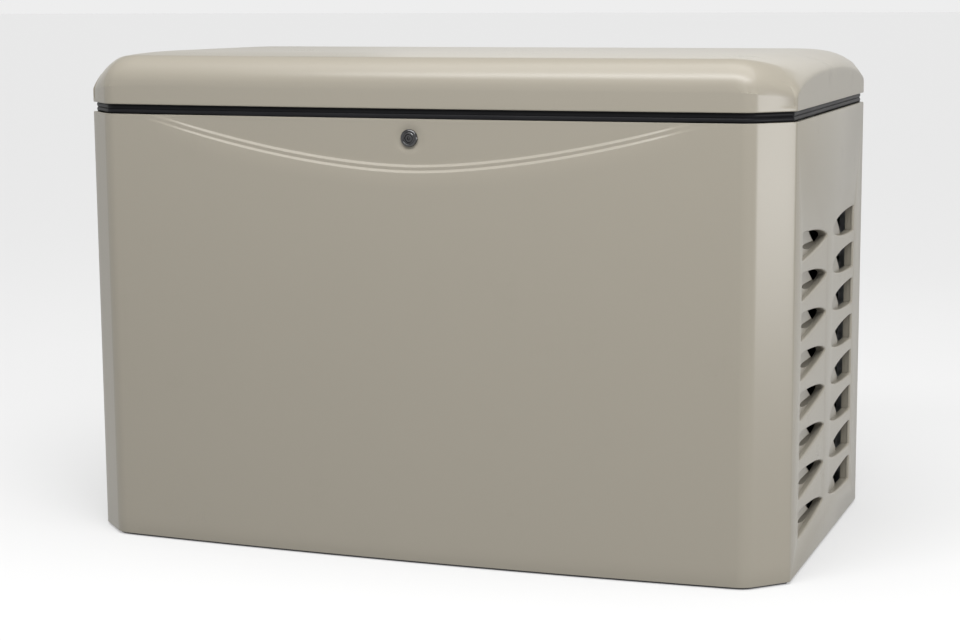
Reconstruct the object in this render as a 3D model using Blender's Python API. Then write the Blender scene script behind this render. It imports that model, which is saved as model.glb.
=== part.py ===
"""Home standby generator: moulded enclosure, air-cooled V-twin set, controls and their joints.

Metres, +Z up. The origin is on the ground under the middle of the enclosure, the front faces
-Y, and the end with the cooling-air intake faces +X.
"""

import math

import bmesh
import bpy
from mathutils import Matrix, Vector

# Enclosure
HALF_LENGTH = 0.600
HALF_WIDTH = 0.343
BOW = 0.0155
CHAMFER = 0.058
SKIN = 0.005
GAP = 0.0003
PANEL_BOTTOM = 0.004
PANEL_TOP = 0.715
LID_BOTTOM = 0.731
LID_CROWN = 0.814
LID_BAND = 0.762
ROLL_RADIUS = 0.050
ROLL_WIDTH = 0.036
END_ARCH = 0.7817
BEND_RADIUS = 0.035
CREASE_RADIUS = 0.006

# Crescent recess across the top of the front panel
CRESCENT_HALF = 0.470
CRESCENT_LOW = 0.636
CRESCENT_DEPTH = 0.006
CRESCENT_STEP = 0.014

# Louvres of the end panels
LOUVRE_TOP = 0.5195
LOUVRE_PITCH = 0.0629
LOUVRE_ROWS = 8
LOUVRE_HALF_HEIGHT = 0.0215
LOUVRE_COLUMNS = ((-0.228, -0.030), (0.209, 0.024))

# Lid hinge and stay
HINGE_Y = 0.3515
HINGE_Z = 0.722
HINGE_RADIUS = 0.007
HINGE_X = 0.380
STAY_Y = 0.0464
STAY_Z = 0.695
STAY_LENGTH = 0.3011
STAY_ANGLE = 0.074
STAY_PIN = 0.004

# Lock
LOCK_Z = 0.685
LOCK_HEAD = 0.014
LOCK_RING = 0.0198
LOCK_SHANK = 0.012
LOCK_BARREL = 0.006

# Generating set
CRANK_Y = 0.020
CRANK_Z = 0.240
SHAFT = 0.019
DECK = 0.120
HEAD_TOP = 0.300
CYLINDER_X = {"front": 0.290, "rear": 0.240}
EXHAUST_Z = 0.431
PIPE = 0.017

# Control box
BOX_LEFT, BOX_RIGHT = 0.270, 0.535
FACE_FOOT = Vector((0.0, -0.330, 0.500))
FACE_HEAD = Vector((0.0, -0.290, 0.660))
BUTTONS = {"off_button": 0.365, "auto_button": 0.400, "run_button": 0.435}

BEIGE = ((0.33, 0.30, 0.25), 0.45, 0.0)
BLACK_PLASTIC = ((0.02, 0.02, 0.02), 0.40, 0.0)
RUBBER = ((0.03, 0.03, 0.03), 0.80, 0.0)
STEEL = ((0.45, 0.45, 0.46), 0.35, 1.0)
PAINTED = ((0.08, 0.08, 0.085), 0.50, 0.0)
ALUMINIUM = ((0.60, 0.60, 0.60), 0.45, 1.0)
GALVANISED = ((0.55, 0.56, 0.57), 0.40, 1.0)
BRASS = ((0.70, 0.50, 0.22), 0.35, 1.0)


def make(name, bm, finish, origin=(0.0, 0.0, 0.0)):
    """A finished piece with its own material, its origin at the given point."""
    bmesh.ops.remove_doubles(bm, verts=bm.verts[:], dist=1e-7)
    bmesh.ops.recalc_face_normals(bm, faces=bm.faces[:])
    bmesh.ops.translate(bm, verts=bm.verts[:], vec=-Vector(origin))
    mesh = bpy.data.meshes.new(name)
    bm.to_mesh(mesh)
    bm.free()
    mesh.shade_smooth()
    mesh.set_sharp_from_angle(angle=math.radians(35))
    piece = bpy.data.objects.new(name, mesh)
    piece.location = origin
    bpy.context.scene.collection.objects.link(piece)
    if finish is None:
        piece.hide_render = True
        piece.display_type = "WIRE"
        return piece
    colour, roughness, metallic = finish
    material = bpy.data.materials.new(name)
    material.use_nodes = True
    shader = material.node_tree.nodes["Principled BSDF"]
    shader.inputs["Base Color"].default_value = (*colour, 1.0)
    shader.inputs["Roughness"].default_value = roughness
    shader.inputs["Metallic"].default_value = metallic
    mesh.materials.append(material)
    return piece


def shape(piece, other, operation="DIFFERENCE"):
    """Cuts a piece with another shape, or joins the shape to it."""
    boolean = piece.modifiers.new(other.name, "BOOLEAN")
    boolean.object = other
    boolean.operation = operation
    boolean.solver = "EXACT"


def cutter(piece, bm, operation="DIFFERENCE"):
    """Makes a hidden tool shape and uses it on a piece."""
    shape(piece, make(f"tool_{piece.name}_{len(piece.modifiers)}", bm, None), operation)


def prism(points, along, bm=None):
    """A flat outline of 3-D points swept along a vector."""
    bm = bm or bmesh.new()
    face = bm.faces.new([bm.verts.new(p) for p in points])
    swept = bmesh.ops.extrude_face_region(bm, geom=[face])["geom"]
    moved = [v for v in swept if isinstance(v, bmesh.types.BMVert)]
    bmesh.ops.translate(bm, verts=moved, vec=along)
    return bm


def plan(points, low, high, bm=None):
    """A plan outline raised from one height to another."""
    return prism([(x, y, low) for x, y in points], (0, 0, high - low), bm)


def section(points, left, right, bm=None):
    """A Y-Z outline swept along X."""
    return prism([(left, y, z) for y, z in points], (right - left, 0, 0), bm)


def block(low, high, bm=None):
    """A box between two corners."""
    corners = ((low[0], low[1]), (high[0], low[1]), (high[0], high[1]), (low[0], high[1]))
    return plan(corners, low[2], high[2], bm)


def turned(profile, centre, axis, sides=24, ring=False, bm=None):
    """A profile of (radius, height) turned about an axis; a ring profile is a closed loop."""
    bm = bm or bmesh.new()
    start = [bm.verts.new((r, 0, h)) for r, h in profile]
    pairs = list(zip(start, start[1:])) + ([(start[-1], start[0])] if ring else [])
    edges = [bm.edges.new(pair) for pair in pairs]
    known = set(bm.verts) - set(start)
    bmesh.ops.spin(
        bm,
        geom=start + edges,
        cent=(0, 0, 0),
        axis=(0, 0, 1),
        angle=math.tau,
        steps=sides,
        use_merge=True,
    )
    new = [v for v in bm.verts if v not in known]
    turn = Vector((0, 0, 1)).rotation_difference(Vector(axis)).to_matrix().to_4x4()
    bmesh.ops.transform(bm, matrix=Matrix.Translation(centre) @ turn, verts=new)
    bmesh.ops.remove_doubles(bm, verts=new, dist=1e-6)
    return bm


def rod(radius, centre, axis, low, high, sides=24, bm=None):
    """A solid cylinder on an axis, between two distances from its centre."""
    return turned([(0, low), (radius, low), (radius, high), (0, high)], centre, axis, sides, bm=bm)


def tube(inner, outer, centre, axis, low, high, sides=24, bm=None):
    """A hollow cylinder on an axis."""
    ring = [(inner, low), (outer, low), (outer, high), (inner, high)]
    return turned(ring, centre, axis, sides, ring=True, bm=bm)


def fillet(before, corner, after, radius, steps):
    """Points of the arc that rounds one corner."""
    a = (Vector(before) - Vector(corner)).normalized()
    b = (Vector(after) - Vector(corner)).normalized()
    half = a.angle(b) / 2
    reach = radius / math.tan(half)
    middle = Vector(corner) + (a + b).normalized() * (radius / math.sin(half))
    first = Vector(corner) + a * reach - middle
    last = Vector(corner) + b * reach - middle
    sweep = first.angle(last)
    points = []
    for i in range(steps + 1):
        t = i / steps
        share = math.sin((1 - t) * sweep) / math.sin(sweep)
        points.append(middle + first * share + last * (math.sin(t * sweep) / math.sin(sweep)))
    return points


def bowed_front(inset, count=12):
    """Plan points of the bowed front between the corner bends, from +X to -X."""
    reach = HALF_LENGTH - CHAMFER - 0.4142 * inset
    points = []
    for i in range(count + 1):
        x = (reach - 0.024) * (1 - 2 * i / count)
        points.append((x, -HALF_WIDTH + inset - BOW * (1 - (x / reach) ** 2)))
    return points


def corner(inset, side, front):
    """Plan points of one chamfered corner, from the end towards the middle of the long side."""
    end = (HALF_LENGTH - inset, 0.0)
    crease = (HALF_LENGTH - inset, HALF_WIDTH - CHAMFER - 0.4142 * inset)
    bend = (HALF_LENGTH - CHAMFER - 0.4142 * inset, HALF_WIDTH - inset)
    middle = (0.0, HALF_WIDTH - inset)
    tight = max(CREASE_RADIUS - inset, 0.002)
    soft = max(BEND_RADIUS - inset, 0.006)
    points = fillet(end, crease, bend, tight, 2) + fillet(crease, bend, middle, soft, 4)
    return [(side * p.x, -p.y if front else p.y) for p in points]


def outline(inset, between=0):
    """Plan outline of the enclosure, with points added along its straight end and rear sides."""
    steps = [1 - 2 * (i + 1) / (between + 1) for i in range(between)]
    end = [(HALF_LENGTH - inset, (HALF_WIDTH - CHAMFER) * s) for s in steps]
    back = [((HALF_LENGTH - 0.12) * s, HALF_WIDTH - inset) for s in steps]
    front = corner(inset, 1, True) + bowed_front(inset) + corner(inset, -1, True)[::-1]
    left = [(-x, -y) for x, y in end]
    rear = corner(inset, -1, False) + [(-x, y) for x, y in back] + corner(inset, 1, False)[::-1]
    return front + left + rear + end


def crescent(x):
    """Height of the recess's lower edge, and how deep the recess is, at a place along it."""
    share = min(abs(x) / CRESCENT_HALF, 1.0)
    rise = (1 - math.cos(math.pi * share)) / 2
    return CRESCENT_LOW + (PANEL_TOP - CRESCENT_LOW) * rise, CRESCENT_DEPTH * (1 - share**6)


def sheet(columns, name, finish, origin=(0.0, 0.0, 0.0)):
    """A moulded skin through columns of points, thickened inwards."""
    bm = bmesh.new()
    rows = [[bm.verts.new(p) for p in column] for column in columns]
    for left, right in zip(rows, rows[1:]):
        for i in range(len(left) - 1):
            bm.faces.new((left[i], right[i], right[i + 1], left[i + 1]))
    outside = bm.faces[:]
    bm.normal_update()
    middle = Vector((0, 0, 0.4))
    inward = sum(f.normal.dot(f.calc_center_median() - middle) for f in outside) < 0
    if inward:
        bmesh.ops.reverse_faces(bm, faces=outside)
    bmesh.ops.solidify(bm, geom=outside, thickness=SKIN)
    return make(name, bm, finish, origin)


def front_panel():
    """Bowed front with its chamfers, the crescent recess and the lock's seat."""
    path = corner(0, 1, True)[1:] + bowed_front(0, 28) + corner(0, -1, True)[:0:-1]
    path[0] = (HALF_LENGTH, -HALF_WIDTH + CHAMFER)
    path[-1] = (-HALF_LENGTH, -HALF_WIDTH + CHAMFER)
    columns = []
    for x, y in path:
        if abs(x) >= CRESCENT_HALF:
            heights = (PANEL_BOTTOM, 0.35, 0.690, 0.7025, PANEL_TOP)
            columns.append([(x, y, z) for z in heights])
            continue
        edge, depth = crescent(x)
        low = min(edge - CRESCENT_STEP / 2, PANEL_TOP - 0.025)
        high = min(edge + CRESCENT_STEP / 2, PANEL_TOP - 0.0125)
        depths = ((PANEL_BOTTOM, 0), (0.35, 0), (low, 0), (high, depth), (PANEL_TOP, depth))
        columns.append([(x, y + d, z) for z, d in depths])
    panel = sheet(columns, "front_panel", BEIGE)
    seat = -HALF_WIDTH - BOW + CRESCENT_DEPTH
    cutter(panel, rod(LOCK_RING, (0, seat, LOCK_Z), (0, 1, 0), -0.01, 0.002, 32))
    cutter(panel, rod(LOCK_SHANK + GAP, (0, seat, LOCK_Z), (0, 1, 0), -0.01, 0.02))


def rear_panel():
    """Flat rear with its chamfers and the hole for the fuel inlet."""
    path = corner(0, -1, False)[1:] + corner(0, 1, False)[:0:-1]
    path[0] = (-HALF_LENGTH, HALF_WIDTH - CHAMFER)
    path[-1] = (HALF_LENGTH, HALF_WIDTH - CHAMFER)
    columns = [[(x, y, z) for z in (PANEL_BOTTOM, PANEL_TOP)] for x, y in path]
    panel = sheet(columns, "rear_panel", BEIGE)
    cutter(panel, rod(0.0125, (0.06, HALF_WIDTH, 0.20), (0, 1, 0), -0.02, 0.02))


def leaf(wide, tip, height, steps=7):
    """Outline of one louvre: straight at its wide end, rounded to its tip."""
    upper = []
    for i in range(steps + 1):
        share = math.sin(i / steps * math.pi / 2)
        half = LOUVRE_HALF_HEIGHT * math.sqrt(max(0.0, 1 - share**3))
        upper.append((wide + (tip - wide) * share, height + half))
    lower = [(y, 2 * height - z) for y, z in reversed(upper[:-1])]
    return upper + lower


def end_panel(name, side):
    """Flat end with mitred edges and two columns of louvres."""
    outer, inner = HALF_LENGTH * side, (HALF_LENGTH - SKIN) * side
    edge = HALF_WIDTH - CHAMFER - 0.0005
    points = [(outer, -edge), (outer, edge), (inner, edge - SKIN), (inner, -edge + SKIN)]
    panel = make(name, plan(points, PANEL_BOTTOM, PANEL_TOP), BEIGE)
    slots = bmesh.new()
    for wide, tip in LOUVRE_COLUMNS:
        for row in range(LOUVRE_ROWS):
            points = leaf(wide, tip, LOUVRE_TOP - row * LOUVRE_PITCH)
            section(points, outer - 0.02, outer + 0.02, slots)
    cutter(panel, slots)


def base_tray():
    """Folded pan that carries everything."""
    tray = make("base_tray", plan(outline(0.0062), 0.0, 0.055), PAINTED)
    cutter(tray, plan(outline(0.0092), 0.004, 0.060))


def end_frame(name, side):
    """Hoop of folded steel inside one end, with a flange for what hangs on it."""
    near, far = 0.570 * side, (HALF_LENGTH - 0.0096) * side
    outer = [(-0.262, 0.0043), (0.262, 0.0043), (0.262, 0.700), (-0.262, 0.700)]
    frame = make(name, section(outer, near, far), GALVANISED)
    inner = [(-0.240, 0.030), (0.240, 0.030), (0.240, 0.678), (-0.240, 0.678)]
    cutter(frame, section(inner, near - 0.01 * side, far + 0.01 * side))
    return frame


def end_frames():
    """Both hoops; the right one carries the control box's flange and the stay's stud."""
    end_frame("end_frame_left", -1)
    frame = end_frame("end_frame_right", 1)
    cutter(frame, block((0.480, -0.2547, 0.48), (0.580, -0.2517, 0.64)), "UNION")
    pivot = (0, STAY_Y, STAY_Z)
    cutter(frame, rod(0.005, pivot, (1, 0, 0), 0.5595, 0.580, 20), "UNION")


def baffles():
    """Plates behind the louvres with the cooling air's way in and out."""
    points = [(-0.250, 0.0045), (0.258, 0.0045), (0.258, 0.60), (-0.250, 0.60)]
    intake = make("intake_baffle", section(points, 0.5665, 0.5695), GALVANISED)
    crank = (0, CRANK_Y, CRANK_Z)
    cutter(intake, rod(0.11, crank, (1, 0, 0), 0.55, 0.58, 28))
    outlet = make("exhaust_baffle", section(points, -0.5695, -0.5665), GALVANISED)
    slots = bmesh.new()
    for row in range(4):
        low = 0.10 + row * 0.11
        block((-0.58, -0.20, low), (-0.55, 0.20, low + 0.07), slots)
    cutter(outlet, slots)


def lid_height(x, y):
    """Height of the lid's top: rolled along its front, corners and rear, arched at its ends."""
    front = HALF_WIDTH - y if y > 0 else y + HALF_WIDTH + BOW * max(0.0, 1 - (x / 0.542) ** 2)
    chamfer = (HALF_LENGTH + HALF_WIDTH - CHAMFER - abs(x) - abs(y)) * math.sqrt(0.5)
    inset = max(0.0, min(front, chamfer))
    rolled = min(inset, ROLL_WIDTH)
    edge = LID_BAND + math.sqrt(ROLL_RADIUS**2 - (ROLL_RADIUS - rolled) ** 2)
    brow = LID_BAND + math.sqrt(ROLL_RADIUS**2 - (ROLL_RADIUS - ROLL_WIDTH) ** 2)
    spread = min((inset - rolled) / 0.12, 1.0)
    flat = edge + (LID_CROWN - brow) * (1 - (1 - spread) ** 2) - 0.010 * max(0.0, y + 0.25)
    arch = END_ARCH - 0.574 * abs(y) ** 2.4
    share = min(1.0, max(0.0, 1 - (HALF_LENGTH - abs(x)) / 0.10))
    share = (1 - share**2.2) ** (1 / 2.2)
    return arch + (flat - arch) * share


def lid():
    """Crowned lid, its stiffening frame and the seal under it."""
    rings = [[(x, y, LID_BOTTOM) for x, y in outline(0, 7)]]
    courses = [(inset, 1) for inset in (0, 0.002, 0.008, 0.020, 0.036)]
    for inset, shrink in (*courses, (0.040, 0.94), (0.040, 0.85), (0.040, 0.65), (0.040, 0.35)):
        points = [(x * shrink, y * shrink) for x, y in outline(inset, 7)]
        rings.append([(x, y, lid_height(x, y)) for x, y in points])
    bm = bmesh.new()
    loops = []
    for ring in rings:
        verts = [bm.verts.new(p) for p in ring]
        edges = [bm.edges.new((verts[i - 1], verts[i])) for i in range(len(verts))]
        loops.append(edges)
    for low, high in zip(loops, loops[1:]):
        bmesh.ops.bridge_loops(bm, edges=low + high)
    bmesh.ops.contextual_create(bm, geom=loops[-1])
    bmesh.ops.recalc_face_normals(bm, faces=bm.faces[:])
    top = max(bm.faces, key=lambda f: f.calc_center_median().z)
    if top.normal.z < 0:
        bmesh.ops.reverse_faces(bm, faces=bm.faces[:])
    bmesh.ops.solidify(bm, geom=bm.faces[:], thickness=SKIN)
    make("lid", bm, BEIGE, (0, HINGE_Y, HINGE_Z))

    for name, finish, near, far, low, high in (
        ("lid_frame", GALVANISED, 0.0056, 0.018, LID_BOTTOM + 0.0002, LID_BOTTOM + 0.006),
        ("lid_seal", RUBBER, 0.0035, 0.012, PANEL_TOP + GAP, LID_BOTTOM - GAP),
    ):
        bm = bmesh.new()
        sides = []
        for inset in (near, far):
            verts = [bm.verts.new((x, y, low)) for x, y in outline(inset)]
            sides.append([bm.edges.new((verts[i - 1], verts[i])) for i in range(len(verts))])
        bmesh.ops.bridge_loops(bm, edges=sides[0] + sides[1])
        swept = bmesh.ops.extrude_face_region(bm, geom=bm.faces[:])["geom"]
        moved = [v for v in swept if isinstance(v, bmesh.types.BMVert)]
        bmesh.ops.translate(bm, verts=moved, vec=(0, 0, high - low))
        make(name, bm, finish, (0, HINGE_Y, HINGE_Z))


def striker():
    """Hook under the lid whose ledge the lock's pawl holds down."""
    top = LID_BOTTOM + 0.0064
    points = [(-0.350, top), (-0.312, top), (-0.312, 0.668), (-0.326, 0.668), (-0.326, 0.664)]
    points += [(-0.309, 0.664), (-0.309, top + 0.003), (-0.350, top + 0.003)]
    make("lid_striker", section(points, 0.018, 0.046), STEEL, (0, HINGE_Y, HINGE_Z))


def stay():
    """Arm that follows the lid, and the slotted track its pin runs in."""
    track_z = HINGE_Z - 0.0049
    low = track_z - 0.011
    points = [(-0.275, low), (0.215, low)]
    for i in range(8):
        y = 0.215 - i * 0.07
        points.append((y, lid_height(0.556, y) - SKIN - 0.0100))
    track = make("lid_stay_track", section(points, 0.553, 0.556), STEEL, (0, HINGE_Y, HINGE_Z))
    slot = bmesh.new()
    half = STAY_PIN + 0.0008
    section(
        [(-0.262, track_z - half), (0.205, track_z - half), (0.205, track_z + half),
         (-0.262, track_z + half)],
        0.54,
        0.57,
        slot,
    )
    cutter(track, slot)

    along = Vector((0, -math.cos(STAY_ANGLE), math.sin(STAY_ANGLE)))
    across = Vector((0, math.sin(STAY_ANGLE), math.cos(STAY_ANGLE)))
    pivot = Vector((0.5605, STAY_Y, STAY_Z))
    tip = pivot + along * STAY_LENGTH
    outline_points = []
    for centre, start in ((pivot, -90), (tip, 90)):
        for i in range(9):
            angle = math.radians(start - i * 22.5)
            reach = along * math.cos(angle) + across * math.sin(angle)
            outline_points.append(centre + reach * 0.009)
    arm = make("lid_stay_arm", prism(outline_points, (0.004, 0, 0)), STEEL, pivot)
    cutter(arm, rod(0.0053, pivot, (1, 0, 0), -0.01, 0.02, 20))
    cutter(arm, rod(STAY_PIN, tip, (1, 0, 0), -0.009, 0.002, 16), "UNION")


def hinge(name, middle):
    """Strap hinge: outer knuckles on the rear panel, the centre knuckle on the lid."""
    axis = (0, HINGE_Y, HINGE_Z)
    near, far = HALF_WIDTH + GAP, HALF_WIDTH + 0.0023
    body = section(
        [(near, 0.675), (far, 0.675), (far, 0.7140), (near, 0.7140)], middle - 0.045, middle + 0.045
    )
    leaf_body = make(f"hinge_leaf_body_{name}", body, STEEL)
    for start in (-0.045, 0.0155):
        left, right = middle + start, middle + start + 0.0295
        knuckle = tube(0.0035, HINGE_RADIUS, axis, (1, 0, 0), left, right, 20)
        cutter(leaf_body, knuckle, "UNION")
        web = [(near, 0.7100), (far, 0.7100), (far + 0.0012, 0.7195), (near + 0.001, 0.7195)]
        cutter(leaf_body, section(web, left, right), "UNION")
    upper = section(
        [(near, 0.7245), (far + 0.0008, 0.7245), (far, 0.750), (near, 0.750)],
        middle - 0.015,
        middle + 0.015,
    )
    leaf_lid = make(f"hinge_leaf_lid_{name}", upper, STEEL, axis)
    knuckle = tube(0.0035, HINGE_RADIUS, axis, (1, 0, 0), middle - 0.015, middle + 0.015, 20)
    cutter(leaf_lid, knuckle, "UNION")
    pin = rod(0.0031, axis, (1, 0, 0), middle - 0.047, middle + 0.047, 16)
    make(f"hinge_pin_{name}", pin, STEEL)


def lock():
    """Quarter-turn lock in the recess: housing, turning barrel and pawl."""
    seat = -HALF_WIDTH - BOW + CRESCENT_DEPTH + 0.002
    centre = (0, seat, LOCK_Z)
    inner = LOCK_BARREL + GAP
    ring = [
        (inner, -0.0042), (0.011, -0.0050), (LOCK_HEAD, -0.0030), (LOCK_HEAD, -GAP),
        (LOCK_SHANK, -GAP), (LOCK_SHANK, 0.0200), (inner, 0.0200),
    ]
    make("lock_housing", turned(ring, centre, (0, 1, 0), 32, ring=True), BLACK_PLASTIC)
    barrel = rod(LOCK_BARREL, centre, (0, 1, 0), -0.0046, 0.0270)
    piece = make("lock_barrel", barrel, STEEL, centre)
    socket = [(0.0028 * math.cos(math.radians(a)), 0.0028 * math.sin(math.radians(a)))
              for a in range(0, 360, 120)]
    cutter(piece, prism([(x, seat - 0.008, LOCK_Z + z) for x, z in socket], (0, 0.006, 0)))
    end = seat + 0.0270 + GAP
    points = [(-0.008, LOCK_Z - 0.010), (0.008, LOCK_Z - 0.010), (0.008, LOCK_Z + 0.0285),
              (-0.008, LOCK_Z + 0.0285)]
    pawl = prism([(x, end, z) for x, z in points], (0, 0.003, 0))
    make("lock_pawl", pawl, STEEL, (0, end, LOCK_Z))


def cradle():
    """Rectangular engine cradle on four rubber isolators."""
    ring = make("engine_cradle", block((-0.12, -0.115, 0.058), (0.36, 0.155, 0.082)), PAINTED)
    cutter(ring, block((-0.09, -0.085, 0.05), (0.33, 0.125, 0.09)))
    for end, x in (("left", -0.10), ("right", 0.335)):
        for side, y in (("front", -0.10), ("rear", 0.14)):
            profile = [(0, 0.0043), (0.026, 0.0043), (0.026, 0.012), (0.019, 0.030)]
            profile += [(0.024, 0.0577), (0, 0.0577)]
            mount = turned(profile, (x, y, 0), (0, 0, 1), 20)
            make(f"isolator_{side}_{end}", mount, RUBBER)


def crankcase():
    """V-twin crankcase with its feet, shaft bore and oil filler neck."""
    side = [(0.135, -0.1577), (0.135, -0.140), (0.110, -0.125), (0.110, 0.0), (0.1238, 0.046)]
    side += [(0.046, 0.1238)]
    points = side + [(-y, z) for y, z in reversed(side)]
    points = [(CRANK_Y + y, CRANK_Z + z) for y, z in points]
    case = make("crankcase", section(points, 0.170, 0.355), ALUMINIUM)
    neck = (0.195, -0.100, 0)
    cutter(case, rod(0.013, neck, (0, 0, 1), 0.130, 0.330, 20), "UNION")
    cutter(case, rod(0.0045, neck, (0, 0, 1), 0.150, 0.340, 16))
    cutter(case, rod(SHAFT + GAP, (0, CRANK_Y, CRANK_Z), (1, 0, 0), 0.16, 0.37))
    rod_profile = rod(0.004, neck, (0, 0, 1), 0.160, 0.332, 16)
    stick = make("dipstick", rod_profile, BLACK_PLASTIC, (0.195, -0.100, 0.3303))
    cutter(stick, rod(0.014, neck, (0, 0, 1), 0.3303, 0.350, 20), "UNION")


def cylinder(name, side):
    """Finned barrel and head leaning 45 degrees, with its valve cover."""
    lean = Vector((0, side, 1)).normalized()
    centre = Vector((CYLINDER_X[name], CRANK_Y, CRANK_Z))
    profile = [(0, DECK + GAP)]
    fins = 9
    pitch = (HEAD_TOP - DECK - 0.012) / fins
    for i in range(fins):
        low = DECK + GAP + i * pitch
        outer = 0.055 if i < 5 else 0.060
        profile += [(0.044, low), (0.044, low + pitch * 0.62), (outer, low + pitch * 0.66)]
        profile += [(outer, low + pitch * 0.94)]
    profile += [(0.052, HEAD_TOP - 0.011), (0.052, HEAD_TOP), (0, HEAD_TOP)]
    make(f"cylinder_{name}", turned(profile, centre, lean, 16), ALUMINIUM)
    cover = block((-0.050, -0.036, HEAD_TOP + GAP), (0.050, 0.036, HEAD_TOP + 0.024))
    top = [e for e in cover.edges if sum(v.co.z > HEAD_TOP + 0.02 for v in e.verts) == 2]
    bmesh.ops.bevel(cover, geom=top, offset=0.010, segments=2, profile=0.5, affect="EDGES")
    turn = Vector((0, 0, 1)).rotation_difference(lean).to_matrix().to_4x4()
    bmesh.ops.transform(cover, matrix=Matrix.Translation(centre) @ turn, verts=cover.verts[:])
    make(f"valve_cover_{name}", cover, ALUMINIUM)


def running_gear():
    """Crankshaft with the flywheel fan and the alternator's rotor on it."""
    centre = (0, CRANK_Y, CRANK_Z)
    profile = [(0, -0.116), (0.016, -0.116), (SHAFT, -0.110), (SHAFT, 0.440), (0.010, 0.445)]
    profile += [(0, 0.445)]
    make("crankshaft", turned(profile, centre, (1, 0, 0)), STEEL, centre)
    blades = 12
    points = []
    for i in range(blades):
        for offset, radius in ((-9, 0.062), (-4, 0.135), (2, 0.135), (7, 0.062)):
            angle = math.radians(i * 360 / blades + offset)
            points.append((CRANK_Y + radius * math.cos(angle), CRANK_Z + radius * math.sin(angle)))
    fan = make("flywheel_fan", section(points, 0.378, 0.428), ALUMINIUM, centre)
    cutter(fan, rod(SHAFT + GAP, centre, (1, 0, 0), 0.36, 0.45))
    rotor = tube(SHAFT + GAP, 0.084, centre, (1, 0, 0), -0.100, 0.140, 28)
    make("alternator_rotor", rotor, STEEL, centre)


def shrouds():
    """Blower housing round the fan, and the alternator's stator housing."""
    centre = (0, CRANK_Y, CRANK_Z)
    ring = [(0.154, 0.362), (0.154, 0.470), (0.100, 0.470), (0.100, 0.4665), (0.1505, 0.4665)]
    ring += [(0.1505, 0.362)]
    make("blower_housing", turned(ring, centre, (1, 0, 0), 28, ring=True), PAINTED)
    ring = [(0.030, -0.135), (0.118, -0.135), (0.125, -0.120), (0.125, 0.1695), (0.087, 0.1695)]
    ring += [(0.087, -0.120), (0.030, -0.120)]
    make("alternator_stator", turned(ring, centre, (1, 0, 0), 32, ring=True), ALUMINIUM)


def breathing():
    """Air cleaner above the V, with the mixer that feeds it to both cylinders."""
    body = block((0.170, -0.090, 0.530), (0.370, 0.130, 0.595))
    upright = [e for e in body.edges if abs(e.verts[0].co.z - e.verts[1].co.z) > 0.03]
    bmesh.ops.bevel(body, geom=upright, offset=0.018, segments=3, profile=0.5, affect="EDGES")
    make("air_cleaner_body", body, BLACK_PLASTIC)
    cover = block((0.167, -0.093, 0.5953), (0.373, 0.133, 0.628))
    upper = [e for e in cover.edges if max(v.co.z for v in e.verts) > 0.60]
    bmesh.ops.bevel(cover, geom=upper, offset=0.014, segments=2, profile=0.5, affect="EDGES")
    middle = (0.270, CRANK_Y, 0)
    piece = make("air_cleaner_cover", cover, BLACK_PLASTIC, (0.270, CRANK_Y, 0.5953))
    cutter(piece, rod(0.018, middle, (0, 0, 1), 0.620, 0.646, 12), "UNION")
    ring = [(0, 0.3642), (0.040, 0.3642), (0.040, 0.374), (0.026, 0.378), (0.026, 0.500)]
    ring += [(0.038, 0.512), (0.038, 0.5297), (0, 0.5297)]
    make("fuel_mixer", turned(ring, middle, (0, 0, 1), 20), ALUMINIUM)


def pipe(name, points, radius, finish, bend=0.04):
    """Round pipe through corner points with rounded bends."""
    path = [Vector(points[0])]
    for before, middle, after in zip(points, points[1:], points[2:]):
        path += fillet(before, middle, after, bend, 5)
    path.append(Vector(points[-1]))
    curve = bpy.data.curves.new(name, "CURVE")
    curve.dimensions = "3D"
    curve.bevel_depth = radius
    curve.bevel_resolution = 3
    curve.use_fill_caps = True
    spline = curve.splines.new("POLY")
    spline.points.add(len(path) - 1)
    for point, place in zip(spline.points, path):
        point.co = (*place, 1)
    colour, roughness, metallic = finish
    material = bpy.data.materials.new(name)
    material.use_nodes = True
    shader = material.node_tree.nodes["Principled BSDF"]
    shader.inputs["Base Color"].default_value = (*colour, 1.0)
    shader.inputs["Roughness"].default_value = roughness
    shader.inputs["Metallic"].default_value = metallic
    curve.materials.append(material)
    piece = bpy.data.objects.new(name, curve)
    bpy.context.scene.collection.objects.link(piece)


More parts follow.
